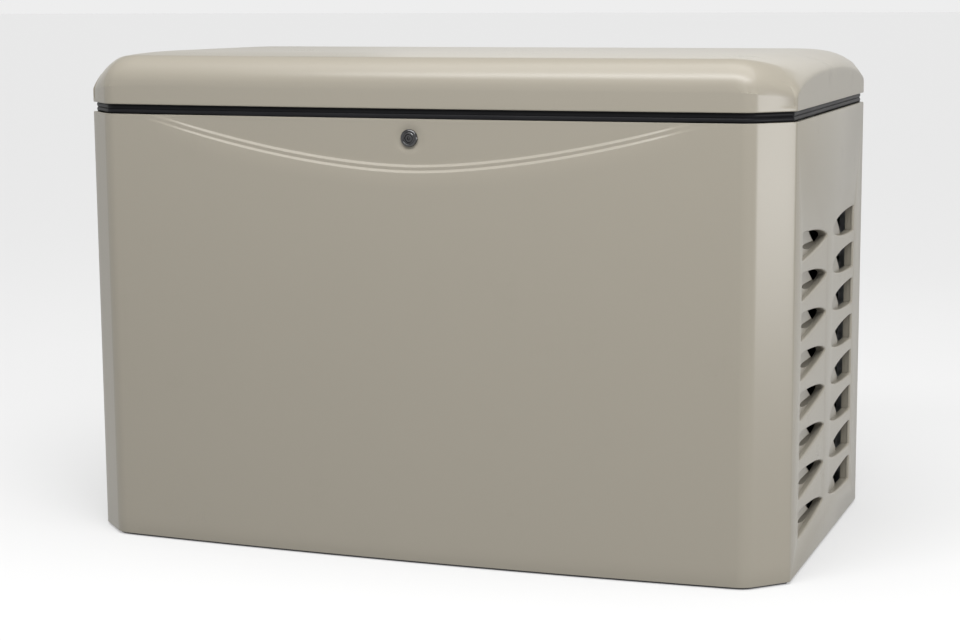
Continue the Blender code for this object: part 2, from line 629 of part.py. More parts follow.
def exhaust():
    """Pipes from both heads through the bulkhead to the muffler in its own bay."""
    reach = (DECK + HEAD_TOP + 0.12) / 2 * math.sqrt(0.5)
    low = 0.370
    for name, side in (("front", -1), ("rear", 1)):
        y = CRANK_Y + side * reach
        start = CYLINDER_X[name] - 0.0605
        points = [(start, y, EXHAUST_Z), (-0.13, y, EXHAUST_Z), (-0.19, y, low), (-0.3045, y, low)]
        pipe(f"exhaust_pipe_{name}", points, PIPE, STEEL, 0.05)
    profile = [(0, -0.262), (0.080, -0.262), (0.095, -0.250), (0.095, 0.250), (0.080, 0.262)]
    profile += [(0, 0.262)]
    middle = (-0.400, 0.010, 0.360)
    muffler = make("muffler", turned(profile, middle, (0, 1, 0), 28), STEEL)
    cutter(muffler, rod(0.024, (0, 0.010, 0.360), (1, 0, 0), -0.560, -0.460, 20), "UNION")
    legs = [(-0.460, 0.0045), (-0.456, 0.0045), (-0.456, 0.2595), (-0.344, 0.2595)]
    legs += [(-0.344, 0.0045), (-0.340, 0.0045), (-0.340, 0.2635), (-0.460, 0.2635)]
    stand = prism([(x, -0.10, z) for x, z in legs], (0, 0.22, 0))
    make("muffler_bracket", stand, GALVANISED)
    edges = [(-0.325, 0.0045), (0.325, 0.0045), (0.325, 0.640), (-0.325, 0.640)]
    bulkhead = make("bulkhead", section(edges, -0.247, -0.244), GALVANISED)
    holes = rod(0.10, (0, CRANK_Y, CRANK_Z), (1, 0, 0), -0.26, -0.23)
    for side in (-1, 1):
        centre = (0, CRANK_Y + side * reach, low)
        rod(0.022, centre, (1, 0, 0), -0.26, -0.23, 16, bm=holes)
    cutter(bulkhead, holes)


def services():
    """Fuel inlet and regulator, oil filter, starter motor and battery."""
    pipe("fuel_inlet_pipe", [(0.06, 0.3575, 0.20), (0.06, 0.310, 0.20), (0.06, 0.310, 0.3445)],
         0.0107, BRASS, 0.022)
    profile = [(0, 0.283), (0.040, 0.283), (0.044, 0.290), (0.055, 0.302), (0.055, 0.318)]
    profile += [(0.044, 0.330), (0.040, 0.337), (0, 0.337)]
    make("gas_regulator", turned(profile, (0.06, 0, 0.400), (0, 1, 0), 24), ALUMINIUM)
    profile = [(0, -0.178), (0.028, -0.178), (0.033, -0.173), (0.036, -0.100), (0.034, -0.0904)]
    profile += [(0, -0.0904)]
    make("oil_filter", turned(profile, (0.300, 0, 0.180), (0, 1, 0), 24), PAINTED)
    profile = [(0, 0.196), (0.030, 0.196), (0.036, 0.204), (0.036, 0.300), (0.022, 0.306)]
    profile += [(0.022, 0.340), (0, 0.340)]
    make("starter_motor", turned(profile, (0, 0.172, 0.160), (1, 0, 0), 24), PAINTED)
    case = block((-0.215, -0.325, 0.0045), (0.023, -0.196, 0.200))
    bmesh.ops.bevel(case, geom=case.edges[:], offset=0.004, segments=1, affect="EDGES")
    battery = make("battery", case, BLACK_PLASTIC)
    posts = rod(0.009, (-0.185, -0.226, 0), (0, 0, 1), 0.195, 0.218, 16)
    rod(0.009, (-0.007, -0.226, 0), (0, 0, 1), 0.195, 0.218, 16, bm=posts)
    cutter(battery, posts, "UNION")


def controls():
    """Control box with its three sprung buttons, and the breaker box with its toggle."""
    points = [(-0.255, 0.47), (-0.330, 0.47), FACE_FOOT.yz, FACE_HEAD.yz, (-0.255, 0.66)]
    box = make("control_box", section(points, BOX_LEFT, BOX_RIGHT), BLACK_PLASTIC)
    up = (FACE_HEAD - FACE_FOOT).normalized()
    out = Vector((0, -up.z, up.y))
    wells = bmesh.new()
    places = {}
    for name, x in BUTTONS.items():
        places[name] = FACE_FOOT + up * 0.045 + Vector((x, 0, 0))
        rod(0.0095, places[name], out, -0.0065, 0.004, 20, bm=wells)
    cutter(box, wells)
    window = []
    for across, height in ((0.335, 0.085), (0.465, 0.085), (0.465, 0.140), (0.335, 0.140)):
        window.append(FACE_FOOT + up * height + out * 0.005 + Vector((across, 0, 0)))
    cutter(box, prism(window, out * -0.007))
    for name, place in places.items():
        make(name, rod(0.0091, place, out, -0.0045, 0.003, 20), BLACK_PLASTIC, place)

    breaker = block((-0.2437, -0.325, 0.42), (-0.100, -0.255, 0.60))
    breaker = make("breaker_box", breaker, PAINTED)
    cutter(breaker, block((-0.1860, -0.340, 0.494), (-0.1440, -0.303, 0.526)))
    hub = Vector((-0.165, -0.318, 0.510))
    toggle = make("breaker_toggle", rod(0.012, hub, (1, 0, 0), -0.015, 0.015), BLACK_PLASTIC, hub)
    tilt = math.radians(25)
    reach = Vector((0, -math.cos(tilt), math.sin(tilt)))
    across = Vector((0, math.sin(tilt), math.cos(tilt)))
    handle = []
    for near, side in ((0.005, -0.004), (0.0255, -0.003), (0.0255, 0.003), (0.005, 0.004)):
        handle.append(hub + reach * near + across * side - Vector((0.010, 0, 0)))
    cutter(toggle, prism(handle, (0.020, 0, 0)), "UNION")


def main():
    """Clears the scene and builds every piece."""
    for old in list(bpy.data.objects):
        bpy.data.objects.remove(old, do_unlink=True)
    base_tray()
    front_panel()
    rear_panel()
    end_panel("right_end_panel", 1)
    end_panel("left_end_panel", -1)
    end_frames()
    baffles()
    lid()
    striker()
    stay()
    hinge("left", -HINGE_X)
    hinge("right", HINGE_X)
    lock()
    cradle()
    crankcase()
    cylinder("front", -1)
    cylinder("rear", 1)
    running_gear()
    shrouds()
    breathing()
    exhaust()
    services()
    controls()


main()
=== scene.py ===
"""Looks of a home standby generator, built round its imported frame.

The enclosure is moulded in a satin beige polymer: a bowed front with a crescent recess and a
quarter-turn lock, louvred ends, a flat rear and a crowned lid over a rubber seal. Inside it
stand a V-twin engine, its alternator, the muffler bay, the battery and the controls.
"""

from __future__ import annotations

import logging
import math
from collections.abc import Callable, Iterable, Sequence
from dataclasses import dataclass, field
from enum import Enum

import bmesh
import bpy
from bmesh.types import BMesh
from mathutils import Matrix, Vector


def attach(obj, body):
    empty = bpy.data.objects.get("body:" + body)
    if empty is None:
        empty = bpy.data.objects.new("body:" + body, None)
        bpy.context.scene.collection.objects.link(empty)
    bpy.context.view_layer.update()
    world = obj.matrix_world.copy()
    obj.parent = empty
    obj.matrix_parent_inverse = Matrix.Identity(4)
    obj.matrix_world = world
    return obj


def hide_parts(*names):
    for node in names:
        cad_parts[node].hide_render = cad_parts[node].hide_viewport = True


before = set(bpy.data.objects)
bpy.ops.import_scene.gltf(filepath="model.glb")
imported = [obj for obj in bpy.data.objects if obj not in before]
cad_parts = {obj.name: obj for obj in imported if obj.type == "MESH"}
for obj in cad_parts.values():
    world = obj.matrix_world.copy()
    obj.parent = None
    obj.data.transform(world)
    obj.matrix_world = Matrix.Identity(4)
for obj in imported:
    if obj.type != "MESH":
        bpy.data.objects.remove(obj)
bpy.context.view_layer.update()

CRANK_Y = 0.020
CRANK_Z = 0.240
MITRE = 0.4142
log = logging.getLogger("generator")


class Grain(Enum):
    """The patterns that a finish can carry."""

    MOULDED = "moulded"
    SPANGLE = "spangle"
    BRUSHED = "brushed"
    CAST = "cast"
    LAMINATED = "laminated"
    FOAM = "foam"


@dataclass(frozen=True)
class Finish:
    """A surface with its colour, gloss and grain.

    Attributes:
        name: The material's name.
        colour: Linear base colour.
        roughness: Mean roughness.
        metallic: How metallic it is.
        grain: The pattern it carries.
        scale: How many grains there are to a metre.
        relief: Height of the grain in metres.
        mottle: How far the colour wanders, as a share.
        wander: How far the roughness wanders.
        coat: Weight of a clear coat.
        specular: How strong the plain gloss is.
        along: Axis that a brushed or laminated pattern runs across.
        tint: A second colour that shows in patches.
        patches: How much of the second colour shows.
    """

    name: str
    colour: tuple[float, float, float]
    roughness: float = 0.5
    metallic: float = 0.0
    grain: Grain = Grain.MOULDED
    scale: float = 900.0
    relief: float = 0.00004
    mottle: float = 0.05
    wander: float = 0.08
    coat: float = 0.0
    specular: float = 0.5
    along: int = 0
    tint: tuple[float, float, float] | None = None
    patches: float = 0.0

    def material(self) -> bpy.types.Material:
        """Builds the material, or returns it if it was built already.

        Returns:
            The node-based material.
        """
        known = bpy.data.materials.get(self.name)
        if known is not None:
            return known
        made = bpy.data.materials.new(self.name)
        made.use_nodes = True
        made.diffuse_color = (*self.colour, 1.0)
        nodes = made.node_tree.nodes
        links = made.node_tree.links
        shader = nodes["Principled BSDF"]
        shader.inputs["Metallic"].default_value = self.metallic
        shader.inputs["Coat Weight"].default_value = self.coat
        shader.inputs["Coat Roughness"].default_value = 0.18
        shader.inputs["Specular IOR Level"].default_value = self.specular
        place = nodes.new("ShaderNodeTexCoord").outputs["Object"]
        fine, height = self._pattern(nodes, links, place)
        broad = nodes.new("ShaderNodeTexNoise")
        broad.inputs["Scale"].default_value = 9.0
        broad.inputs["Detail"].default_value = 3.0
        links.new(place, broad.inputs["Vector"])
        blend = nodes.new("ShaderNodeMath")
        blend.operation = "MULTIPLY_ADD"
        blend.inputs[1].default_value = 0.5
        links.new(fine, blend.inputs[0])
        half = nodes.new("ShaderNodeMath")
        half.operation = "MULTIPLY"
        half.inputs[1].default_value = 0.5
        links.new(broad.outputs["Fac"], half.inputs[0])
        links.new(half.outputs[0], blend.inputs[2])
        mixed = blend.outputs[0]
        colours = nodes.new("ShaderNodeValToRGB")
        low = [c * (1 - self.mottle) for c in self.colour]
        high = [min(1.0, c * (1 + self.mottle)) for c in self.colour]
        colours.color_ramp.elements[0].position = 0.25
        colours.color_ramp.elements[0].color = (*low, 1.0)
        colours.color_ramp.elements[1].position = 0.75
        colours.color_ramp.elements[1].color = (*high, 1.0)
        links.new(mixed, colours.inputs["Fac"])
        colour = colours.outputs["Color"]
        if self.tint is not None:
            colour = self._patches(nodes, links, place, colour)
        links.new(colour, shader.inputs["Base Color"])
        gloss = nodes.new("ShaderNodeMapRange")
        gloss.inputs["From Min"].default_value = 0.2
        gloss.inputs["From Max"].default_value = 0.8
        gloss.inputs["To Min"].default_value = max(0.02, self.roughness - self.wander)
        gloss.inputs["To Max"].default_value = min(1.0, self.roughness + self.wander)
        links.new(mixed, gloss.inputs["Value"])
        links.new(gloss.outputs["Result"], shader.inputs["Roughness"])
        bump = nodes.new("ShaderNodeBump")
        bump.inputs["Distance"].default_value = self.relief
        bump.inputs["Strength"].default_value = 1.0
        links.new(height, bump.inputs["Height"])
        links.new(bump.outputs["Normal"], shader.inputs["Normal"])
        return made

    def _pattern(
        self,
        nodes: bpy.types.Nodes,
        links: bpy.types.NodeLinks,
        place: bpy.types.NodeSocket,
    ) -> tuple[bpy.types.NodeSocket, bpy.types.NodeSocket]:
        """Makes the fine pattern.

        Args:
            nodes: The material's nodes.
            links: The material's links.
            place: The coordinate that the pattern reads.

        Returns:
            The pattern for colour and gloss, and the one for height.
        """
        if self.grain is Grain.SPANGLE:
            cells = nodes.new("ShaderNodeTexVoronoi")
            cells.inputs["Scale"].default_value = self.scale
            links.new(place, cells.inputs["Vector"])
            split = nodes.new("ShaderNodeSeparateColor")
            links.new(cells.outputs["Color"], split.inputs["Color"])
            return split.outputs["Red"], cells.outputs["Distance"]
        if self.grain in (Grain.BRUSHED, Grain.LAMINATED):
            mapping = nodes.new("ShaderNodeMapping")
            stretch = [self.scale * 0.02] * 3
            stretch[self.along] = self.scale
            mapping.inputs["Scale"].default_value = stretch
            links.new(place, mapping.inputs["Vector"])
            noise = nodes.new("ShaderNodeTexNoise")
            noise.inputs["Scale"].default_value = 1.0
            noise.inputs["Detail"].default_value = 2.0
            links.new(mapping.outputs["Vector"], noise.inputs["Vector"])
            if self.grain is Grain.BRUSHED:
                return noise.outputs["Fac"], noise.outputs["Fac"]
            bands = nodes.new("ShaderNodeTexWave")
            bands.wave_type = "BANDS"
            bands.bands_direction = "XYZ"[self.along]
            bands.inputs["Scale"].default_value = self.scale / 6.2832
            bands.inputs["Distortion"].default_value = 0.0
            links.new(place, bands.inputs["Vector"])
            return noise.outputs["Fac"], bands.outputs["Fac"]
        noise = nodes.new("ShaderNodeTexNoise")
        noise.inputs["Scale"].default_value = self.scale
        rough = self.grain in (Grain.CAST, Grain.FOAM)
        noise.inputs["Detail"].default_value = 4.0 if rough else 1.5
        noise.inputs["Roughness"].default_value = 0.65 if rough else 0.5
        links.new(place, noise.inputs["Vector"])
        if self.grain is Grain.FOAM:
            cells = nodes.new("ShaderNodeTexVoronoi")
            cells.inputs["Scale"].default_value = self.scale * 0.6
            links.new(place, cells.inputs["Vector"])
            return noise.outputs["Fac"], cells.outputs["Distance"]
        return noise.outputs["Fac"], noise.outputs["Fac"]

    def _patches(
        self,
        nodes: bpy.types.Nodes,
        links: bpy.types.NodeLinks,
        place: bpy.types.NodeSocket,
        colour: bpy.types.NodeSocket,
    ) -> bpy.types.NodeSocket:
        """Lets the second colour show in soft patches.

        Args:
            nodes: The material's nodes.
            links: The material's links.
            place: The coordinate that the patches read.
            colour: The colour under them.

        Returns:
            The mixed colour.
        """
        noise = nodes.new("ShaderNodeTexNoise")
        noise.inputs["Scale"].default_value = 22.0
        noise.inputs["Detail"].default_value = 5.0
        links.new(place, noise.inputs["Vector"])
        reach = nodes.new("ShaderNodeMapRange")
        reach.inputs["From Min"].default_value = 0.62 - 0.3 * self.patches
        reach.inputs["From Max"].default_value = 0.78
        reach.inputs["To Max"].default_value = self.patches
        links.new(noise.outputs["Fac"], reach.inputs["Value"])
        mix = nodes.new("ShaderNodeMix")
        mix.data_type = "RGBA"
        links.new(reach.outputs["Result"], mix.inputs["Factor"])
        links.new(colour, mix.inputs["A"])
        mix.inputs["B"].default_value = (*self.tint, 1.0)
        return mix.outputs["Result"]


SHELL = Finish("shell_beige", (0.192, 0.177, 0.146), 0.28, scale=1500.0, relief=0.000030,
               mottle=0.008, wander=0.012, specular=0.22)
SEAL = Finish("seal_rubber", (0.010, 0.010, 0.011), 0.34, scale=1800.0, relief=0.00003,
              mottle=0.2, specular=0.04)
LOCK_BLACK = Finish("lock_black", (0.012, 0.012, 0.013), 0.16, scale=700.0, relief=0.000004,
                    mottle=0.1, wander=0.03, coat=0.5)
# Near-black foam. On the louvre baffles this darkness is painted shade for the shadow inside the
# slots as well as the lining's colour; on the lid liner it is the foam's own colour.
FOAM = Finish("foam_and_painted_slot_shade", (0.016, 0.016, 0.017), 0.95, grain=Grain.FOAM, scale=420.0,
              relief=0.0012, mottle=0.4)
GALVANISED = Finish("galvanised_sheet", (0.50, 0.52, 0.53), 0.38, 1.0, Grain.SPANGLE, 110.0,
                    relief=0.00001, mottle=0.16, wander=0.12)
ZINC = Finish("zinc_plate", (0.62, 0.61, 0.57), 0.30, 1.0, Grain.BRUSHED, 900.0,
              relief=0.00001, mottle=0.08, tint=(0.60, 0.52, 0.36), patches=0.35)
POWDER = Finish("powder_black", (0.020, 0.020, 0.022), 0.46, scale=650.0, relief=0.00010,
                mottle=0.15)
CAST = Finish("cast_alloy", (0.52, 0.52, 0.53), 0.52, 1.0, Grain.CAST, 520.0,
              relief=0.00022, mottle=0.12, tint=(0.36, 0.35, 0.33), patches=0.3)
STEEL = Finish("ground_steel", (0.58, 0.58, 0.59), 0.24, 1.0, Grain.BRUSHED, 1600.0,
               relief=0.00001, mottle=0.06)
PIPE = Finish("heat_tinted_steel", (0.50, 0.45, 0.38), 0.34, 1.0, Grain.CAST, 90.0,
              relief=0.00002, mottle=0.15, tint=(0.26, 0.20, 0.30), patches=0.6)
MUFFLER = Finish("aluminised_steel", (0.46, 0.46, 0.45), 0.44, 1.0, Grain.CAST, 260.0,
                 relief=0.00004, mottle=0.10, tint=(0.32, 0.27, 0.21), patches=0.45)
RUBBER = Finish("mount_rubber", (0.020, 0.020, 0.021), 0.72, scale=900.0, relief=0.00008,
                mottle=0.25)
PLASTIC = Finish("black_moulding", (0.022, 0.022, 0.024), 0.50, scale=1100.0,
                 relief=0.00007, mottle=0.15)
LAMINATE = Finish("laminated_core", (0.20, 0.19, 0.19), 0.48, 1.0, Grain.LAMINATED, 1250.0,
                  relief=0.00012, mottle=0.12)
BRASS = Finish("turned_brass", (0.62, 0.43, 0.17), 0.30, 1.0, Grain.BRUSHED, 1300.0,
               relief=0.00001, mottle=0.10, tint=(0.40, 0.25, 0.10), patches=0.3)
RED = Finish("red_key", (0.42, 0.020, 0.014), 0.38, scale=900.0, relief=0.00003)
GREEN = Finish("green_key", (0.02, 0.19, 0.045), 0.38, scale=900.0, relief=0.00003)
AMBER = Finish("amber_key", (0.60, 0.26, 0.012), 0.38, scale=900.0, relief=0.00003)
YELLOW = Finish("yellow_cap", (0.62, 0.37, 0.012), 0.42, scale=900.0, relief=0.00005)
GREY_PAINT = Finish("grey_enamel", (0.085, 0.088, 0.092), 0.40, scale=700.0, relief=0.00006,
                    coat=0.2)
FILTER_PAINT = Finish("filter_enamel", (0.60, 0.58, 0.52), 0.28, scale=500.0,
                      relief=0.00003, coat=0.4)


CERAMIC = Finish("plug_ceramic", (0.70, 0.68, 0.63), 0.20, scale=600.0, relief=0.00001,
                 coat=0.5)
LABEL = Finish("blank_label", (0.58, 0.59, 0.60), 0.34, scale=1300.0, relief=0.00001,
               mottle=0.03)
LENS = Finish("display_glass", (0.012, 0.020, 0.017), 0.07, scale=500.0, relief=0.000002,
              mottle=0.05, wander=0.02, coat=0.6)
CABLE_RED = Finish("red_cable", (0.34, 0.016, 0.012), 0.42, scale=1100.0, relief=0.00004)


def course(points: Iterable[Sequence[float]], steps: int = 10) -> list[Vector]:
    """Rounds a path through its points.

    Args:
        points: The points that the path runs through.
        steps: How many steps there are between two of them.

    Returns:
        The points of the rounded path.
    """
    held = [Vector(p) for p in points]
    held = [held[0] * 2 - held[1], *held, held[-1] * 2 - held[-2]]
    path = []
    for a, b, c, d in zip(held, held[1:], held[2:], held[3:]):
        for i in range(steps):
            t = i / steps
            bend = (a * 2 - b * 5 + c * 4 - d) * t * t + (b * 3 - a - c * 3 + d) * t**3
            path.append((b * 2 + (c - a) * t + bend) / 2)
    path.append(held[-2])
    return path


class Form:
    """A mesh being shaped by operators, from its first vertices to a finished piece."""

    def __init__(self) -> None:
        """Starts with an empty mesh."""
        self.bm: BMesh = bmesh.new()

    def weave(
        self, columns: int, rows: int, place: Callable[[int, int], Sequence[float]], closed: bool
    ) -> Form:
        """Lays a grid and carries each of its points to its place.

        Args:
            columns: How many points the grid has along.
            rows: How many points it has up.
            place: Gives a point's place from its column and row.
            closed: Whether the last column meets the first.

        Returns:
            This form.
        """
        wide = columns + 1 if closed else columns
        made = bmesh.ops.create_grid(
            self.bm, x_segments=wide - 1, y_segments=rows - 1, size=0.5
        )["verts"]
        for vert in made:
            column = round((vert.co.x + 0.5) * (wide - 1))
            row = round((vert.co.y + 0.5) * (rows - 1))
            vert.co = place(column % columns, row)
        if closed:
            bmesh.ops.remove_doubles(self.bm, verts=made, dist=1e-6)
        return self

    def box(self, low: Sequence[float], high: Sequence[float], bevel: float = 0.0) -> Form:
        """Adds a box, its edges rounded if a width is given.

        Args:
            low: Its lowest corner.
            high: Its highest corner.
            bevel: Width of the rounding.

        Returns:
            This form.
        """
        middle = (Vector(low) + Vector(high)) / 2
        size = Matrix.Diagonal((*(Vector(high) - Vector(low)), 1.0))
        made = bmesh.ops.create_cube(self.bm, size=1, matrix=Matrix.Translation(middle) @ size)
        if bevel > 0:
            edges = list({e for v in made["verts"] for e in v.link_edges})
            self.soften(edges, bevel, 3)
        return self

    def rod(
        self,
        start: Sequence[float],
        end: Sequence[float],
        radius: float,
        sides: int = 32,
        end_radius: float | None = None,
    ) -> list[bmesh.types.BMVert]:
        """Adds a round rod or cone between two points.

        Args:
            start: The middle of its first end.
            end: The middle of its other end.
            radius: Its radius at the first end.
            sides: How many sides it has.
            end_radius: Its radius at the other end, if that differs.

        Returns:
            Its vertices.
        """
        run = Vector(end) - Vector(start)
        turn = Vector((0, 0, 1)).rotation_difference(run).to_matrix().to_4x4()
        middle = Matrix.Translation((Vector(start) + Vector(end)) / 2)
        return bmesh.ops.create_cone(
            self.bm,
            cap_ends=True,
            segments=sides,
            radius1=radius,
            radius2=radius if end_radius is None else end_radius,
            depth=run.length,
            matrix=middle @ turn,
        )["verts"]

    def turn(
        self,
        profile: Iterable[tuple[float, float]],
        centre: Sequence[float],
        axis: Sequence[float],
        sides: int = 48,
        ring: bool = False,
    ) -> Form:
        """Turns a profile of radius and height about an axis.

        Args:
            profile: Radius and height of each point.
            centre: Where height is nought.
            axis: The direction that height runs in.
            sides: How many steps the turn has.
            ring: Whether the profile closes on itself.

        Returns:
            This form.
        """
        known = set(self.bm.verts)
        start = [self.bm.verts.new((r, 0, h)) for r, h in profile]
        pairs = list(zip(start, start[1:]))
        if ring:
            pairs.append((start[-1], start[0]))
        edges = [self.bm.edges.new(pair) for pair in pairs]
        bmesh.ops.spin(
            self.bm,
            geom=start + edges,
            cent=(0, 0, 0),
            axis=(0, 0, 1),
            angle=math.tau,
            steps=sides,
            use_merge=True,
        )
        made = [v for v in self.bm.verts if v not in known]
        turn = Vector((0, 0, 1)).rotation_difference(Vector(axis)).to_matrix().to_4x4()
        bmesh.ops.transform(self.bm, matrix=Matrix.Translation(centre) @ turn, verts=made)
        bmesh.ops.remove_doubles(self.bm, verts=made, dist=1e-6)
        return self

    def sweep(self, outline: Iterable[Sequence[float]], along: Sequence[float]) -> Form:
        """Sweeps a flat outline along a vector.

        Args:
            outline: The outline's points.
            along: How far and which way it goes.

        Returns:
            This form.
        """
        face = self.bm.faces.new([self.bm.verts.new(p) for p in outline])
        swept = bmesh.ops.extrude_face_region(self.bm, geom=[face])["geom"]
        moved = [v for v in swept if isinstance(v, bmesh.types.BMVert)]
        bmesh.ops.translate(self.bm, verts=moved, vec=along)
        return self

    def bolt(self, base: Sequence[float], axis: Sequence[float], radius: float) -> Form:
        """Adds a flanged hexagon bolt head.

        Args:
            base: Where it bears.
            axis: The way its head points.
            radius: Half its width over the corners.

        Returns:
            This form.
        """
        axis = Vector(axis).normalized()
        foot = Vector(base) - axis * 0.0006
        seat = foot + axis * (0.0006 + 0.35 * radius)
        self.rod(foot, seat, radius * 1.4, 24, radius * 1.3)
        top = seat + axis * radius
        head = self.rod(seat - axis * 0.0002, top, radius, 6)
        far = [v for v in head if (v.co - top).dot(axis) > -1e-5]
        rim = list({e for v in far for e in v.link_edges if e.other_vert(v) in far})
        return self.soften(rim, radius * 0.14, 2)

    def tube(
        self,
        points: Iterable[Sequence[float]],
        radius: float,
        sides: int = 16,
        steps: int = 10,
        ribs: float = 0.0,
    ) -> Form:
        """Runs a round tube along a rounded path.

        Args:
            points: The points that the path runs through.
            radius: The tube's radius.
            sides: How many sides it has.
            steps: How many steps there are between two points.
            ribs: How far its ribs stand out, as a share of the radius.

        Returns:
            This form.
        """
        path = course(points, steps)
        ways = [(b - a).normalized() for a, b in zip(path, path[1:])]
        ways.append(ways[-1])
        up = ways[0].orthogonal().normalized()
        ups = []
        for way in ways:
            up = (up - way * up.dot(way)).normalized()
            ups.append(up)

        def place(column: int, row: int) -> Vector:
            """Gives a point of the tube."""
            angle = math.tau * column / sides
            reach = radius * (1 + ribs * (row % 2))
            side = ways[row].cross(ups[row])
            return path[row] + (ups[row] * math.cos(angle) + side * math.sin(angle)) * reach

        self.weave(sides, len(path), place, True)
        rim = [e for e in self.bm.edges if e.is_boundary]
        bmesh.ops.holes_fill(self.bm, edges=rim, sides=0)
        return self

    def hoop(
        self, centre: Sequence[float], axis: Sequence[float], radius: float, wire: float
    ) -> Form:
        """Adds a round wire hoop.

        Args:
            centre: Its middle.
            axis: The direction that it faces.
            radius: Its radius.
            wire: The wire's radius.

        Returns:
            This form.
        """
        turns = [math.tau * i / 10 for i in range(10)]
        profile = [(radius + wire * math.cos(a), wire * math.sin(a)) for a in turns]
        return self.turn(profile, centre, axis, 64, True)

    def soften(self, edges: list[bmesh.types.BMEdge], width: float, segments: int = 3) -> Form:
        """Rounds edges.

        Args:
            edges: The edges to round.
            width: Width of the rounding.
            segments: How many steps it has.

        Returns:
            This form.
        """
        bmesh.ops.bevel(
            self.bm,
            geom=edges,
            offset=width,
            segments=segments,
            profile=0.5,
            affect="EDGES",
            material=-1,
            clamp_overlap=True,
        )
        return self

    def sharp(self, angle: float = 40.0) -> list[bmesh.types.BMEdge]:
        """Finds the edges that fold more than an angle.

        Args:
            angle: The angle in degrees.

        Returns:
            The edges.
        """
        self.bm.normal_update()
        limit = math.radians(angle)
        return [
            e for e in self.bm.edges
            if len(e.link_faces) == 2 and e.calc_face_angle(0.0) > limit
        ]

    def piece(
        self,
        name: str,
        finish: Finish,
        body: str,
        replaces: Sequence[str] = (),
        angle: float = 32.0,
    ) -> bpy.types.Object:
        """Turns the form into a finished piece that rides on a body.

        Args:
            name: The piece's name.
            finish: Its surface.
            body: The body that carries it.
            replaces: The CAD nodes that it stands for.
            angle: Folds sharper than this, in degrees, stay crisp.

        Returns:
            The piece.
        """
        bmesh.ops.recalc_face_normals(self.bm, faces=self.bm.faces[:])
        mesh = bpy.data.meshes.new(name)
        self.bm.to_mesh(mesh)
        self.bm.free()
        mesh.shade_smooth()
        mesh.set_sharp_from_angle(angle=math.radians(angle))
        mesh.materials.append(finish.material())
        made = bpy.data.objects.new(name, mesh)
        bpy.context.scene.collection.objects.link(made)
        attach(made, body)
        if replaces:
            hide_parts(*replaces)
        log.info("%s: %d faces", name, len(mesh.polygons))
        return made


